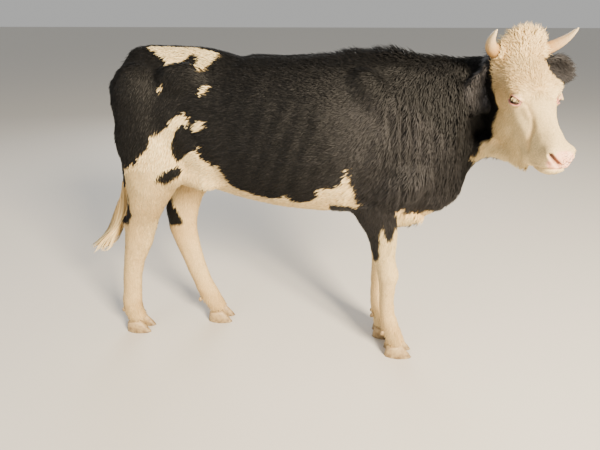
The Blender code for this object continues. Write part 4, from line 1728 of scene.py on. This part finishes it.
@dataclass
class Eye:
    """One eye: ball, lids and lashes."""

    head: HeadFrame
    side: int
    radius: float = 0.0222
    sunk: float = 0.0066  # how far the ball sits behind its solid's middle
    long_half: float = math.radians(80)  # from the middle of the opening to its corners
    upper: float = math.radians(22)
    lower: float = math.radians(27)
    rim: float = 0.0018
    turns: int = 72  # corners in each loop of the lids
    loops: int = 15
    lid_tufts: int = 520
    upper_lashes: int = 30
    bulge: float = 0.05  # of the clear front, as a share of the radius
    pupil: tuple = (0.42, 0.20)  # half its width and height, in radians
    lid_reach: float = 1.30  # from the middle of the opening out to where the lids end
    tear: tuple = (0.023, 0.019, 0.010)  # how far ahead its corner lies, and where its pink fades

    def centre(self) -> Array:
        """The middle of the ball."""
        return middle_of(f"eye_{side_name(self.side)}") - self.axis() * self.sunk

    def axis(self) -> Array:
        """The way the eye looks."""
        return self.head.direction(0.30, 0.22, self.side * 0.93)

    def reach(self, points: Array) -> tuple:
        """How far each point lies along the way the eye looks, and how far aside from it."""
        offset = points - self.centre()
        height = offset @ self.axis()
        return height, np.linalg.norm(offset - np.outer(height, self.axis()), axis=1)

    def across(self) -> tuple:
        """Directions round the eye, square to the way it looks.

        Returns:
            The one to its front corner and the one to its upper lid.
        """
        axis = self.axis()
        front = self.head.direction(1.0, 0.30, 0.0)
        front = unit(front - axis * (front @ axis))
        up = np.cross(front, axis)
        if up @ self.head.direction(0.0, 1.0, 0.0) < 0:
            up = -up
        return front, up

    def build_ball(self) -> Object:
        """Makes the eyeball, with a number on each point for its rings.

        Returns:
            The eyeball.
        """
        bm = bmesh.new()
        bmesh.ops.create_uvsphere(bm, u_segments=48, v_segments=32, radius=self.radius)
        axis = self.axis()
        front, up = self.across()
        turn = Matrix((front, up, axis)).transposed().to_4x4()
        for vert in bm.verts:
            polar = math.acos(max(-1.0, min(1.0, vert.co.z / self.radius)))
            vert.co *= 1.0 + self.bulge * math.exp(-((polar / 0.45) ** 4))
        bmesh.ops.transform(bm, matrix=Matrix.Translation(self.centre()) @ turn, verts=bm.verts)
        bmesh.ops.recalc_face_normals(bm, faces=bm.faces)
        obj = mesh_object(f"eyeball_{side_name(self.side)}", bm)
        offset = unit(coordinates(obj.data) - self.centre())
        wide = np.arctan2(offset @ front, offset @ axis)
        high = np.arctan2(offset @ up, offset @ axis)
        pupil = np.hypot(wide / self.pupil[0], high / self.pupil[1])
        ring = np.maximum(np.hypot(wide, high) / 1.5, 0.21)
        store(obj.data, "ring", np.where(pupil < 1, 0.1, ring))
        obj.data.materials.append(EyeBall().build())
        return obj

    def opening(self, turn: Array) -> Array:
        """How far the lids' edge lies from the middle of the opening, at each turn round it."""
        c, s = np.cos(turn), np.sin(turn)
        high = np.where(s > 0, self.upper, self.lower)
        return 1.0 / np.sqrt((c / self.long_half) ** 2 + (s / high) ** 2)

    def on_lid(self, turn: float, share: float, surface: BVHTree) -> Array:
        """A place on the lids.

        Args:
            turn: round the opening, from the front corner upwards.
            share: 0 at the rim and 1 where the lid dips under the hide.
            surface: the hide as it was before the sockets were pressed in.

        Returns:
            The place.
        """
        front, up = self.across()
        way = front * math.cos(turn) + up * math.sin(turn)
        edge = float(self.opening(np.array(turn)))
        lean = edge + (self.lid_reach - edge) * share**1.1
        swell = self.rim + 0.0018 * math.sin(min(1.0, 2.2 * share) * math.pi)
        crease = 0.0011 * math.sin(share * math.pi * 5) * (1 - share)
        reach = self.radius + swell + crease
        place = self.centre() + (self.axis() * math.cos(lean) + way * math.sin(lean)) * reach
        settle = float(ease(0.30, 1.0, np.array(share)))
        if settle:
            ground, normal = (np.array(found) for found in surface.find_nearest(Vector(place))[:2])
            place = place * (1 - settle) + (ground - normal * 0.004 * settle) * settle
        return place

    def build_lids(self, surface: BVHTree) -> Object:
        """A soft ring from the opening's edge out to the hide, which its rim dips under.

        Args:
            surface: the hide as it was before the sockets were pressed in.

        Returns:
            The lids' object.
        """
        turns = np.linspace(0, 2 * math.pi, self.turns, endpoint=False)
        axis = self.axis()
        front, up = self.across()
        bm = bmesh.new()
        inner = []  # the rim's inner ring, just inside the ball
        for turn, edge in zip(turns, self.opening(turns)):
            way = front * math.cos(turn) + up * math.sin(turn)
            lean = edge + 0.06
            ball = axis * math.cos(lean) + way * math.sin(lean)
            inner.append(bm.verts.new(self.centre() + ball * self.radius * 0.985))
        loops = [inner]
        for share in np.linspace(0, 1, self.loops):
            loops.append([bm.verts.new(self.on_lid(turn, share, surface)) for turn in turns])
        for low, high in zip(loops, loops[1:]):
            edges = []
            for ring in (low, high):
                for a, b in zip(ring, ring[1:] + ring[:1]):
                    edges.append(bm.edges.get((a, b)) or bm.edges.new((a, b)))
            bmesh.ops.bridge_loops(bm, edges=edges)
        bmesh.ops.recalc_face_normals(bm, faces=bm.faces)
        obj = mesh_object(f"eyelids_{side_name(self.side)}", bm)
        self.face_outward(obj, axis)
        offset = coordinates(obj.data) - self.centre()
        lean = np.arccos(np.clip(unit(offset) @ axis, -1, 1))
        turn = np.arctan2(offset @ up, offset @ front)
        ahead, fade_from, fade_to = self.tear
        tear = ease(fade_from, fade_to, np.linalg.norm(offset - ahead * front, axis=1))
        store(obj.data, "outward", np.clip((lean - self.opening(turn)) / 0.9, 0, 1) * (1 - tear))
        obj.data.materials.append(LidSkin().build())
        return obj

    def face_outward(self, obj: Object, axis: Array) -> None:
        """Turns the lids' faces to the outside."""
        if (point_normals(obj.data) @ axis).mean() < 0:
            obj.data.flip_normals()

    def lid_hair(self, surface: BVHTree, planted: HideSurface) -> Tufts:
        """Short hair on both lids, lying away from the opening.

        Args:
            surface: the hide as it was before the sockets were pressed in.
            planted: the hide with its unwrap.

        Returns:
            The tufts.
        """
        rng = np.random.default_rng(401 + self.side)
        count = self.lid_tufts
        turn = rng.uniform(0.30, 2 * math.pi - 0.30, count)
        share = rng.uniform(0.17, 0.95, count)
        place = np.array([self.on_lid(a, b, surface) for a, b in zip(turn, share)])
        ground = np.array([surface.find_nearest(Vector(point))[1] for point in place])
        settled = ease(0.15, 0.75, share)[:, None]
        out = unit(unit(place - self.centre()) * (1 - settled) + ground * settled)
        front, up = self.across()
        way = np.outer(np.cos(turn), front) + np.outer(np.sin(turn), up) - 0.4 * front
        return Tufts(
            roots=planted.roots_on(place, out, Part.HEAD),
            way=unit(way - out * dots(way, out)),
            length=rng.uniform(0.006, 0.010, count),
            width=rng.uniform(0.0016, 0.0022, count),
            rise=0.35,
            settle=0.1,
            sway=rng.normal(0, 0.2, count),
            tone=rng.random(count),
            dust=0.25,
            rings=1,
        )

    def lashes(self, planted: HideSurface) -> Tufts:
        """Long pale lashes, more on the upper lid than on the lower one.

        Args:
            planted: the hide with its unwrap.

        Returns:
            The lashes.
        """
        rng = np.random.default_rng(301 + self.side)
        upper = rng.uniform(0.10, 0.66, self.upper_lashes) * math.pi
        lower = rng.uniform(1.15, 1.85, self.upper_lashes // 3) * math.pi
        turn = np.concatenate([upper, lower])
        count = len(turn)
        axis = self.axis()
        front, up = self.across()
        lean = self.opening(turn) + 0.05
        way = np.outer(np.cos(turn), front) + np.outer(np.sin(turn), up)
        out = np.cos(lean)[:, None] * axis + np.sin(lean)[:, None] * way
        sweep = unit(way * 0.55 + axis - 0.30 * up)
        return Tufts(
            roots=planted.roots_on(self.centre() + out * (self.radius + self.rim), out, Part.HEAD),
            way=unit(sweep - out * dots(sweep, out)),
            length=rng.uniform(0.011, 0.017, count),
            width=0.0008,
            rise=0.7,
            settle=-0.35,
            sway=rng.normal(0, 0.2, count),
            curl=0.05,
            tone=rng.random(count),
            rings=3,
        )


@dataclass
class HornPiece:
    """One short horn with growth rings at its root."""

    head: HeadFrame
    side: int
    radius: float = 0.0196
    rings: int = 44
    ruff_tufts: int = 900
    ruff_gap: float = 0.0008  # from the sheath out to the roots of the hair round it
    # along the face, out of the forehead, to the side, thickness as a share of the root's
    line: tuple = (
        (-0.012, -0.008, 0.070, 1.0),
        (-0.010, 0.006, 0.096, 1.0),
        (-0.004, 0.028, 0.120, 0.86),
        (0.004, 0.058, 0.136, 0.62),
        (0.012, 0.090, 0.142, 0.30),
        (0.016, 0.104, 0.142, 0.08),
    )

    def build(self) -> Object:
        """The horn: a circle drawn out along a smooth curve, thinning to a blunt tip.

        Returns:
            The horn.
        """
        rows = np.array([(a, o, self.side * s, w) for a, o, s, w in self.line])
        knots = np.arange(len(rows))
        fine = np.linspace(0, len(rows) - 1, self.rings)
        bent = np.stack([smooth_through(knots, rows[:, i], fine) for i in range(4)], axis=1)
        places = self.head.world(bent[:, :3])
        bm = bmesh.new()
        ring = bmesh.ops.create_circle(bm, cap_ends=True, segments=28, radius=1.0)["verts"]
        edges = bm.edges[:]
        base = np.array([v.co for v in ring])
        up = self.head.axes[0]
        share = np.linspace(0, 1, len(places))
        for k, place in enumerate(places):
            along = unit(places[min(k + 1, len(places) - 1)] - places[max(k - 1, 0)])
            side = unit(np.cross(along, up))
            top = np.cross(side, along)
            groove = 1.0 + 0.022 * math.sin(k * 1.9) * (1 - share[k]) ** 1.5
            wide = self.radius * bent[k, 3] * groove
            if k:
                made = bmesh.ops.extrude_edge_only(bm, edges=edges)["geom"]
                ring = [part for part in made if isinstance(part, bmesh.types.BMVert)]
                drawn = [part for part in made if isinstance(part, bmesh.types.BMEdge)]
                edges = [edge for edge in drawn if all(vert in ring for vert in edge.verts)]
            for vert, (u, v, _) in zip(ring, base):
                vert.co = Vector(place + side * (u * wide) + top * (v * wide))
        bmesh.ops.contextual_create(bm, geom=edges)
        bmesh.ops.recalc_face_normals(bm, faces=bm.faces)
        obj = mesh_object(f"horn_sheath_{side_name(self.side)}", bm)
        points = coordinates(obj.data)
        nearest = np.argmin(np.linalg.norm(points[:, None, :] - places[None], axis=2), axis=1)
        store(obj.data, "outward", share[nearest])
        obj.data.materials.append(Horn().build())
        return obj

    def ruff(self, planted: HideSurface) -> Tufts:
        """Hair that hides the horn's root and lies a little way up it, most towards the poll.

        Args:
            planted: the hide with its unwrap.

        Returns:
            The tufts.
        """
        rng = np.random.default_rng(501 + self.side)
        count = self.ruff_tufts
        start, end = (self.head.world((a, o, self.side * s)) for a, o, s, _ in self.line[:2])
        ahead = unit(end - start)
        across = unit(np.cross(ahead, self.head.axes[0]))
        top = np.cross(across, ahead)
        turn = rng.uniform(0, 2 * math.pi, count)
        out = np.outer(np.cos(turn), across) + np.outer(np.sin(turn), top)
        poll = np.maximum(out @ self.head.direction(0.75, 0.65, 0.0), 0.0)
        up = rng.uniform(-0.7, 0.15, count) + 0.55 * poll * rng.random(count)
        place = start + np.outer(up, end - start) + out * (self.radius + self.ruff_gap)
        stray = rng.normal(0, 0.35, (count, 1)) * np.cross(out, ahead)
        roots = planted.roots_on(place, out, Part.HEAD)
        fore = ease(-0.5, -0.2, out @ self.head.direction(1.0, 0.0, 0.0))
        return Tufts(
            roots=roots,
            way=unit(ahead + stray),
            length=(0.012 + 0.017 * poll) * rng.uniform(0.7, 1.2, count),
            width=rng.uniform(0.0016, 0.0026, count),
            rise=0.45,
            settle=rng.uniform(0.0, 0.35, count),
            sway=rng.normal(0, 0.3, count),
            curl=0.3,
            white=np.maximum(Markings(self.head).white(place, roots.part), fore),
            tone=rng.random(count),
            fade_and_sheen=0.1,
            dust=rng.uniform(0.2, 0.7, count),
            rings=3,
        )


@dataclass
class Claws:
    """The claws and dewclaws, rounded off from their solids."""

    tuck: float = 0.014  # how far the dewclaws sink into the hair behind the fetlock
    shrink: tuple = (0.72, 0.72, 0.80)  # and how much smaller than their solids they are
    ridge: float = 0.0005  # height of a growth ring

    def nodes(self) -> list:
        """Names of the frame's claws and dewclaws."""
        return [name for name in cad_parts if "claw" in name]

    def build(self, node: str) -> Object:
        """One claw: its solid with softened edges and faint growth rings, still flat below.

        Args:
            node: the solid it stands for.

        Returns:
            The claw's object.
        """
        bm = merged_copy(node)
        dewclaw = node.startswith("dew")
        if dewclaw:
            spot = Matrix.Translation(-Vector(middle_of(node)))
            bmesh.ops.scale(bm, vec=self.shrink, space=spot, verts=bm.verts)
            bmesh.ops.translate(bm, verts=bm.verts, vec=(self.tuck, 0.0, 0.0))
        low = min(v.co.z for v in bm.verts)
        high = max(v.co.z for v in bm.verts)
        for _ in range(2):
            bmesh.ops.subdivide_edges(bm, edges=bm.edges[:], cuts=1, use_grid_fill=True)
            bmesh.ops.triangulate(bm, faces=[f for f in bm.faces if len(f.verts) > 4])
            free = [v for v in bm.verts if v.co.z > low + 0.002 or dewclaw]
            every_way = {f"use_axis_{axis}": True for axis in "xyz"}
            for _ in range(2):
                bmesh.ops.smooth_vert(bm, verts=free, factor=0.4, **every_way)
        bm.normal_update()
        for vert in bm.verts:
            height = (vert.co.z - low) / (high - low)
            if 0.1 < height < 0.95 and not dewclaw:
                vert.co += vert.normal * (self.ridge * math.sin(height * 26.0))
        obj = mesh_object(f"{node}_horn", bm)
        store(obj.data, "outward", (coordinates(obj.data)[:, 2] - low) / (high - low))
        return obj

    def dress(self, pieces: list) -> None:
        """Gives every claw the same hoof horn."""
        finish = HoofHorn().build()
        for piece in pieces:
            piece.data.materials.append(finish)


# ---------------- coat
@dataclass
class Coat:
    """Every tuft on her, in pieces of under 200,000 triangles."""

    surface: HideSurface
    growth: Growth
    markings: Markings
    finish: Material
    most: int = 190_000  # triangles in one piece
    barrel: tuple = (-0.33, 0.02)  # from the quarters forward to the shoulder
    noise: Noise = Noise(67)
    scatter_seed: int = 101
    first_seed: int = 200  # of the first piece's unevenness
    # the front edge of the painted sheen on the shoulder, which follows the head's shadow on the
    # neck:
    # heights, and how far forward it reaches there
    sheen_front: tuple = (
        (0.77, 0.85, 0.91, 0.95, 0.985, 1.01, 1.06, 1.10),
        (0.600, 0.585, 0.550, 0.520, 0.480, 0.445, 0.38, 0.30),
    )

    def curls(self, places: Array, part: Array) -> Array:
        """True for places on the forehead and poll, where the hair curls."""
        along, out, _ = self.growth.head.local(places).T
        return (part == Part.HEAD) & (along < 0.20) & (out > -0.10)

    def spacing(self) -> Array:
        """How dense the coat is, and where it is left out.

        Returns:
            For each triangle of the hide, metres between tufts, 0 for none.
        """
        part = self.surface.parts()
        middles = self.surface.middles()
        on_head = part == Part.HEAD
        curls = self.curls(middles, part)
        table = {
            Part.TRUNK: 0.0053,
            Part.NECK: 0.0050,
            Part.HEAD: np.where(curls, 0.0027, 0.0023),
            Part.FORE_LEG: 0.0040,
            Part.HIND_LEG: 0.0042,
            Part.EAR: 0.0030,
            Part.TAIL: 0.0048,
        }
        spacing = by_part(part, table)
        facing = self.surface.normals[self.surface.triangles].mean(axis=1)[:, 2]
        along = self.growth.head.local(middles)[:, 0]
        bare = on_head & (self.growth.head.muzzle(middles) > 0)
        bare |= (middles[:, 2] < 0.15) & (facing < -0.30)  # under the fetlocks, round the claws
        bare |= on_head & (np.abs(along - 0.305) < 0.035) & (facing < -0.70)  # under the jaw
        for side in SIDES:
            eye = Eye(self.growth.head, side)
            height, aside = eye.reach(middles)
            bare |= (aside < eye.radius * 1.22) & (height > 0)
        return np.where(bare, 0.0, spacing)

    def fade_and_sheen(self, roots: Roots) -> Array:
        """How grey-brown the black hair is: a painted sheen on the shoulder and crest, a fade on the
        ears.

        Args:
            roots: where the hair grows.

        Returns:
            A share for each root.
        """
        x, y, z = roots.place.T
        # painted sheen on the shoulder and crest; it stops at a front edge that follows the head's
        # shadow on the neck, left black
        front = np.interp(z, *self.sheen_front)
        shoulder = 0.02 + 0.24 * ease(0.0, 0.34, x) * ease(front + 0.01, front - 0.03, x)
        shoulder = shoulder * ease(1.10, 1.00, z) + 0.12 * self.growth.crest(roots.place)
        shoulder = shoulder * (roots.part != Part.HEAD)
        # each ear's hollow is painted darker, as its shade
        cup_shade = self.growth.ear_cup(roots.place, roots.normal)
        # the ears' own grey-brown hair; the far ear a little darker all over, the near one black
        # towards its lower tip
        ear = 0.62 * (1.0 - 0.85 * cup_shade) * np.where(y < 0.05, ease(1.01, 1.05, z), 0.8)
        cloud = 0.5 + 0.5 * self.noise.at(roots.place, 0.11)
        cloud = cloud + 0.3 * self.noise.at(roots.place, 0.03)
        return np.where(roots.part == Part.EAR, ear, shoulder) * (0.4 + cloud)

    def tufts(self, roots: Roots, seed: int, rings: int) -> Tufts:
        """Gives each root a lock of the local length, lie and colour.

        Args:
            roots: where they grow.
            seed: of their unevenness.
            rings: how many sections each lock has.

        Returns:
            The locks.
        """
        rng = np.random.default_rng(seed)
        count = len(roots.place)
        growth, part = self.growth, roots.part
        way = growth.lie(roots.place, roots.normal, part)
        side = np.cross(roots.normal, way)
        stray = rng.normal(0.0, 0.16, count)
        way = unit(way * np.cos(stray)[:, None] + side * np.sin(stray)[:, None])
        length = growth.length(roots.place, part) * rng.uniform(0.72, 1.12, count)
        steep = growth.rise(roots.place, part)
        rise = np.minimum(steep * rng.uniform(1.2, 2.1, count), 1.15)
        body = np.isin(part, (Part.TRUNK, Part.NECK))
        settle = steep * (rng.uniform(-0.2, 0.5, count) + 0.7 * growth.crest(roots.place) * body)
        along, out, _ = growth.head.local(roots.place).T
        curly = ease(0.26, 0.12, along) * ease(-0.16, -0.06, out) * (part == Part.HEAD)
        width = np.clip(0.0022 + length * 0.095, 0.0026, 0.0062) * rng.uniform(0.8, 1.2, count)
        leg = np.isin(part, LEGS)
        fine = (0.0014 + length * 0.032) * rng.uniform(0.75, 1.3, count)
        width = np.where(part == Part.HEAD, fine, width * 0.92)
        width = np.where(part == Part.EAR, width * 0.62, width)
        width = np.where(leg, width * 0.85, width)
        white = self.markings.white(roots.place, part, 0.0015)
        tone = rng.random(count)
        fade_and_sheen = np.clip(self.fade_and_sheen(roots) + rng.normal(0, 0.05, count), 0, 1.0)
        return Tufts(
            roots=roots,
            way=way,
            length=length,
            width=width,
            rise=rise,
            settle=settle,
            sway=rng.normal(0.0, 0.22, count) + np.where(leg, 0, 0.05),
            curl=0.48 * curly + 0.10 + 0.5 * (part == Part.EAR),
            white=white,
            tone=tone,
            fade_and_sheen=fade_and_sheen,
            dust=self.markings.dust(roots.place, part),
            rings=rings,
        )

    def build(self) -> list:
        """Sows and makes every piece of the coat.

        Returns:
            The coat's objects.
        """
        roots = self.surface.sow(self.spacing(), self.scatter_seed)
        x, y, _ = roots.place.T
        part = roots.part
        left_of_face = self.growth.head.local(roots.place)[:, 2] >= 0
        right = y < 0
        curls = self.curls(roots.place, part)
        behind, ahead = x < self.barrel[0], x >= self.barrel[1]
        stretches = {"quarter": behind, "barrel": ~behind & ~ahead, "shoulder": ahead}
        regions = {}
        for name, stretch in stretches.items():
            for label, half in (("right", right), ("left", ~right)):
                regions[f"coat_{name}_{label}"] = ((part == Part.TRUNK) & stretch & half, 2)
        regions |= {
            "coat_neck": (part == Part.NECK, 2),
            "coat_forehead_right": (curls & ~left_of_face, 3),
            "coat_forehead_left": (curls & left_of_face, 3),
            "coat_face": ((part == Part.HEAD) & ~curls, 1),
            "coat_fore_legs": (part == Part.FORE_LEG, 1),
            "coat_hind_legs": (part == Part.HIND_LEG, 1),
            "coat_ears": (part == Part.EAR, 2),
            "coat_tail": (part == Part.TAIL, 2),
        }
        made = []
        for seed, (name, (keep, rings)) in enumerate(regions.items()):
            tufts = self.tufts(roots.take(keep), self.first_seed + seed, rings)
            piece = tufts.build(name, self.finish)
            count = len(piece.data.polygons)
            LOG.info("%s: %d tufts, %d triangles", name, int(keep.sum()), count)
            if count > self.most:
                LOG.warning("%s is over its share of triangles", name)
            made.append(piece)
        return made


# ---------------- studio
@dataclass
class Studio:
    """Floor, lights and camera."""

    distance: float = 1.6167
    height: float = 1.28
    azimuth: float = math.radians(8.0)
    pitch: float = math.radians(24.5)
    focal_share: float = 0.75  # focal length as a share of the picture's width
    withers: tuple = (0.471, -0.040, 1.186)  # from there to the head's origin
    sky: tuple = ("#eeeeec", 0.56)
    # name, place, what it faces, edge in metres, watts, colour
    lamps: tuple = (
        ("key", (3.0, -3.6, 2.9), (0.1, 0.0, 0.8), 1.5, 1270, "#ffeccd"),
        ("fill", (-2.6, -3.2, 2.2), (0.0, 0.0, 0.7), 2.4, 60, "#f7f5f2"),
        ("back", (-1.2, 3.6, 3.2), (0.0, 0.0, 0.9), 2.4, 120, "#ffffff"),
    )

    def floor(self) -> Object:
        """A wide pale floor.

        Returns:
            The floor.
        """
        bm = bmesh.new()
        bmesh.ops.create_grid(bm, x_segments=1, y_segments=1, size=90.0)
        obj = mesh_object("studio_floor", bm)
        obj.data.materials.append(StudioFloor().build())
        return obj

    def light(
        self, name: str, place: tuple, target: tuple, size: float, watts: float, code: str
    ) -> None:
        """A soft square light.

        Args:
            name: the light's name.
            place: where it hangs.
            target: what it faces.
            size: its edge in metres.
            watts: its power.
            code: its colour.
        """
        data = bpy.data.lights.new(name, "AREA")
        data.shape = "SQUARE"
        data.size = size
        data.energy = watts
        data.color = linear(code)[:3]
        lamp = linked(name, data)
        lamp.location = place
        lamp.rotation_euler = (Vector(target) - Vector(place)).to_track_quat("-Z", "Y").to_euler()

    def build(self, head: HeadFrame) -> Object:
        """Sets up the studio.

        Args:
            head: her head, whose place gives that of the withers and so of the camera.

        Returns:
            The floor.
        """
        world = bpy.data.worlds.new("studio")
        world.use_nodes = True
        sky = world.node_tree.nodes["Background"]
        sky.inputs["Color"].default_value = linear(self.sky[0])
        sky.inputs["Strength"].default_value = self.sky[1]
        bpy.context.scene.world = world
        for lamp in self.lamps:
            self.light(*lamp)
        withers = head.origin - np.array(self.withers)
        lens = bpy.data.cameras.new("camera")
        lens.sensor_width = 36.0
        lens.lens = lens.sensor_width * self.focal_share
        camera = linked("camera", lens)
        camera.location = withers + np.array((0.0, -self.distance, self.height))
        level = Vector((-math.sin(self.azimuth), math.cos(self.azimuth), 0.0))
        ahead = level * math.cos(self.pitch) - Vector((0.0, 0.0, math.sin(self.pitch)))
        camera.rotation_euler = ahead.to_track_quat("-Z", "Y").to_euler()
        bpy.context.scene.camera = camera
        return self.floor()


@dataclass
class Switch:
    """The long pale hair at the end of the tail, drifting back and down."""

    # along, sideways, up, and half the spread of the hair there
    line: tuple = (
        (-0.694, 0.0, 0.700, 0.016),
        (-0.713, 0.0, 0.615, 0.024),
        (-0.751, 0.0, 0.535, 0.028),
        (-0.791, 0.0, 0.455, 0.030),
        (-0.841, 0.0, 0.398, 0.034),
        (-0.903, 0.0, 0.358, 0.030),
    )
    locks: int = 420
    sections: int = 9

    def build(self, finish: Material, planted: HideSurface) -> Object:
        """Long locks that start at different heights and run to the tip together.

        Args:
            finish: the hair's material.
            planted: the hide with its unwrap.

        Returns:
            The switch.
        """
        low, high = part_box("tail_switch")
        rows = np.array(self.line)
        rows[:, 1] += (low[1] + high[1]) / 2
        rng = np.random.default_rng(77)
        count, steps = self.locks, self.sections
        start = rng.beta(1.0, 1.6, count) * 3.2
        stop = np.minimum(start + rng.uniform(2.1, 3.3, count), rng.uniform(4.3, 5.0, count))
        turn = rng.uniform(0, 2 * math.pi, count)
        spread = np.sqrt(rng.random(count))
        knots = np.arange(len(rows))
        places = []
        for k in range(steps + 1):
            at = start + (stop - start) * k / steps
            bent = np.stack([smooth_through(knots, rows[:, i], at) for i in range(4)], axis=1)
            drift = turn + 0.5 * np.sin(at * 1.7 + turn)
            off = spread * bent[:, 3]
            round_line = (np.cos(drift) * off * 0.8, np.sin(drift) * off, np.cos(drift) * off * -0.6)
            places.append(bent[:, :3] + np.stack(round_line, axis=1))
        line = np.stack(places, axis=1)
        outward = unit(np.stack([np.cos(turn), np.sin(turn), 0.3 * np.cos(turn)], axis=1))
        tufts = LongLocks(
            roots=planted.roots_on(line[:, 0], outward, Part.TAIL),
            way=np.tile((0.0, 0.0, -1.0), (count, 1)),
            length=0.2,
            width=rng.uniform(0.0030, 0.0052, count),
            tone=rng.random(count),
            dust=rng.uniform(0.0, 0.6, count),
            rings=steps,
            line=line,
        )
        return tufts.build("coat_switch", finish)


# ---------------- putting her together
def mount(piece: Object, slot: str, *nodes: str) -> None:
    """Rides the piece on the body and hides the nodes that it stands for.

    Args:
        piece: the finished object.
        slot: not used.
        nodes: the solids that it stands for.
    """
    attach(piece, "root")
    if nodes:
        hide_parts(*nodes)
    LOG.info("%s: %d faces", piece.name, len(piece.data.polygons))


def main() -> None:
    """Builds the hide, eyes, horns, claws, coat and studio, in that order."""
    logging.basicConfig(level=logging.INFO, format="%(message)s")
    head = HeadFrame()
    growth = Growth(head)
    markings = Markings(head)
    skin = HideSkin(head, growth, markings)
    hide = skin.build()
    before = surface_of(hide)
    Strokes(head).work(skin)
    skin.dress()
    mount(hide, "coat_black", *FLESH)
    finish = Hair().build()
    surface = HideSurface(skin)
    for side in SIDES:
        eye = Eye(head, side)
        horn = HornPiece(head, side)
        name = side_name(side)
        mount(eye.build_ball(), "eye", f"eye_{name}")
        mount(eye.build_lids(before), "coat_white")
        mount(eye.lashes(surface).build(f"lashes_{name}", finish), "coat_white")
        mount(eye.lid_hair(before, surface).build(f"coat_lids_{name}", finish), "coat_white")
        mount(horn.build(), "horn", f"horn_{name}")
        mount(horn.ruff(surface).build(f"coat_horn_ruff_{name}", finish), "coat_white")
    claws = Claws()
    pieces = {node: claws.build(node) for node in claws.nodes()}
    claws.dress(list(pieces.values()))
    for node, piece in pieces.items():
        mount(piece, "claw", node)
    for piece in Coat(surface, growth, markings, finish).build():
        pale = "leg" in piece.name or "face" in piece.name
        mount(piece, "coat_white" if pale else "coat_black")
    mount(Switch().build(finish, surface), "coat_white", "tail_switch")
    Studio().build(head)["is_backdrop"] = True
    boxes = {"cad": CAD_BOX, "visual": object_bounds()}
    boxes = {name: [[float(v) for v in corner] for corner in box] for name, box in boxes.items()}


if __name__ == "__main__":
    main()
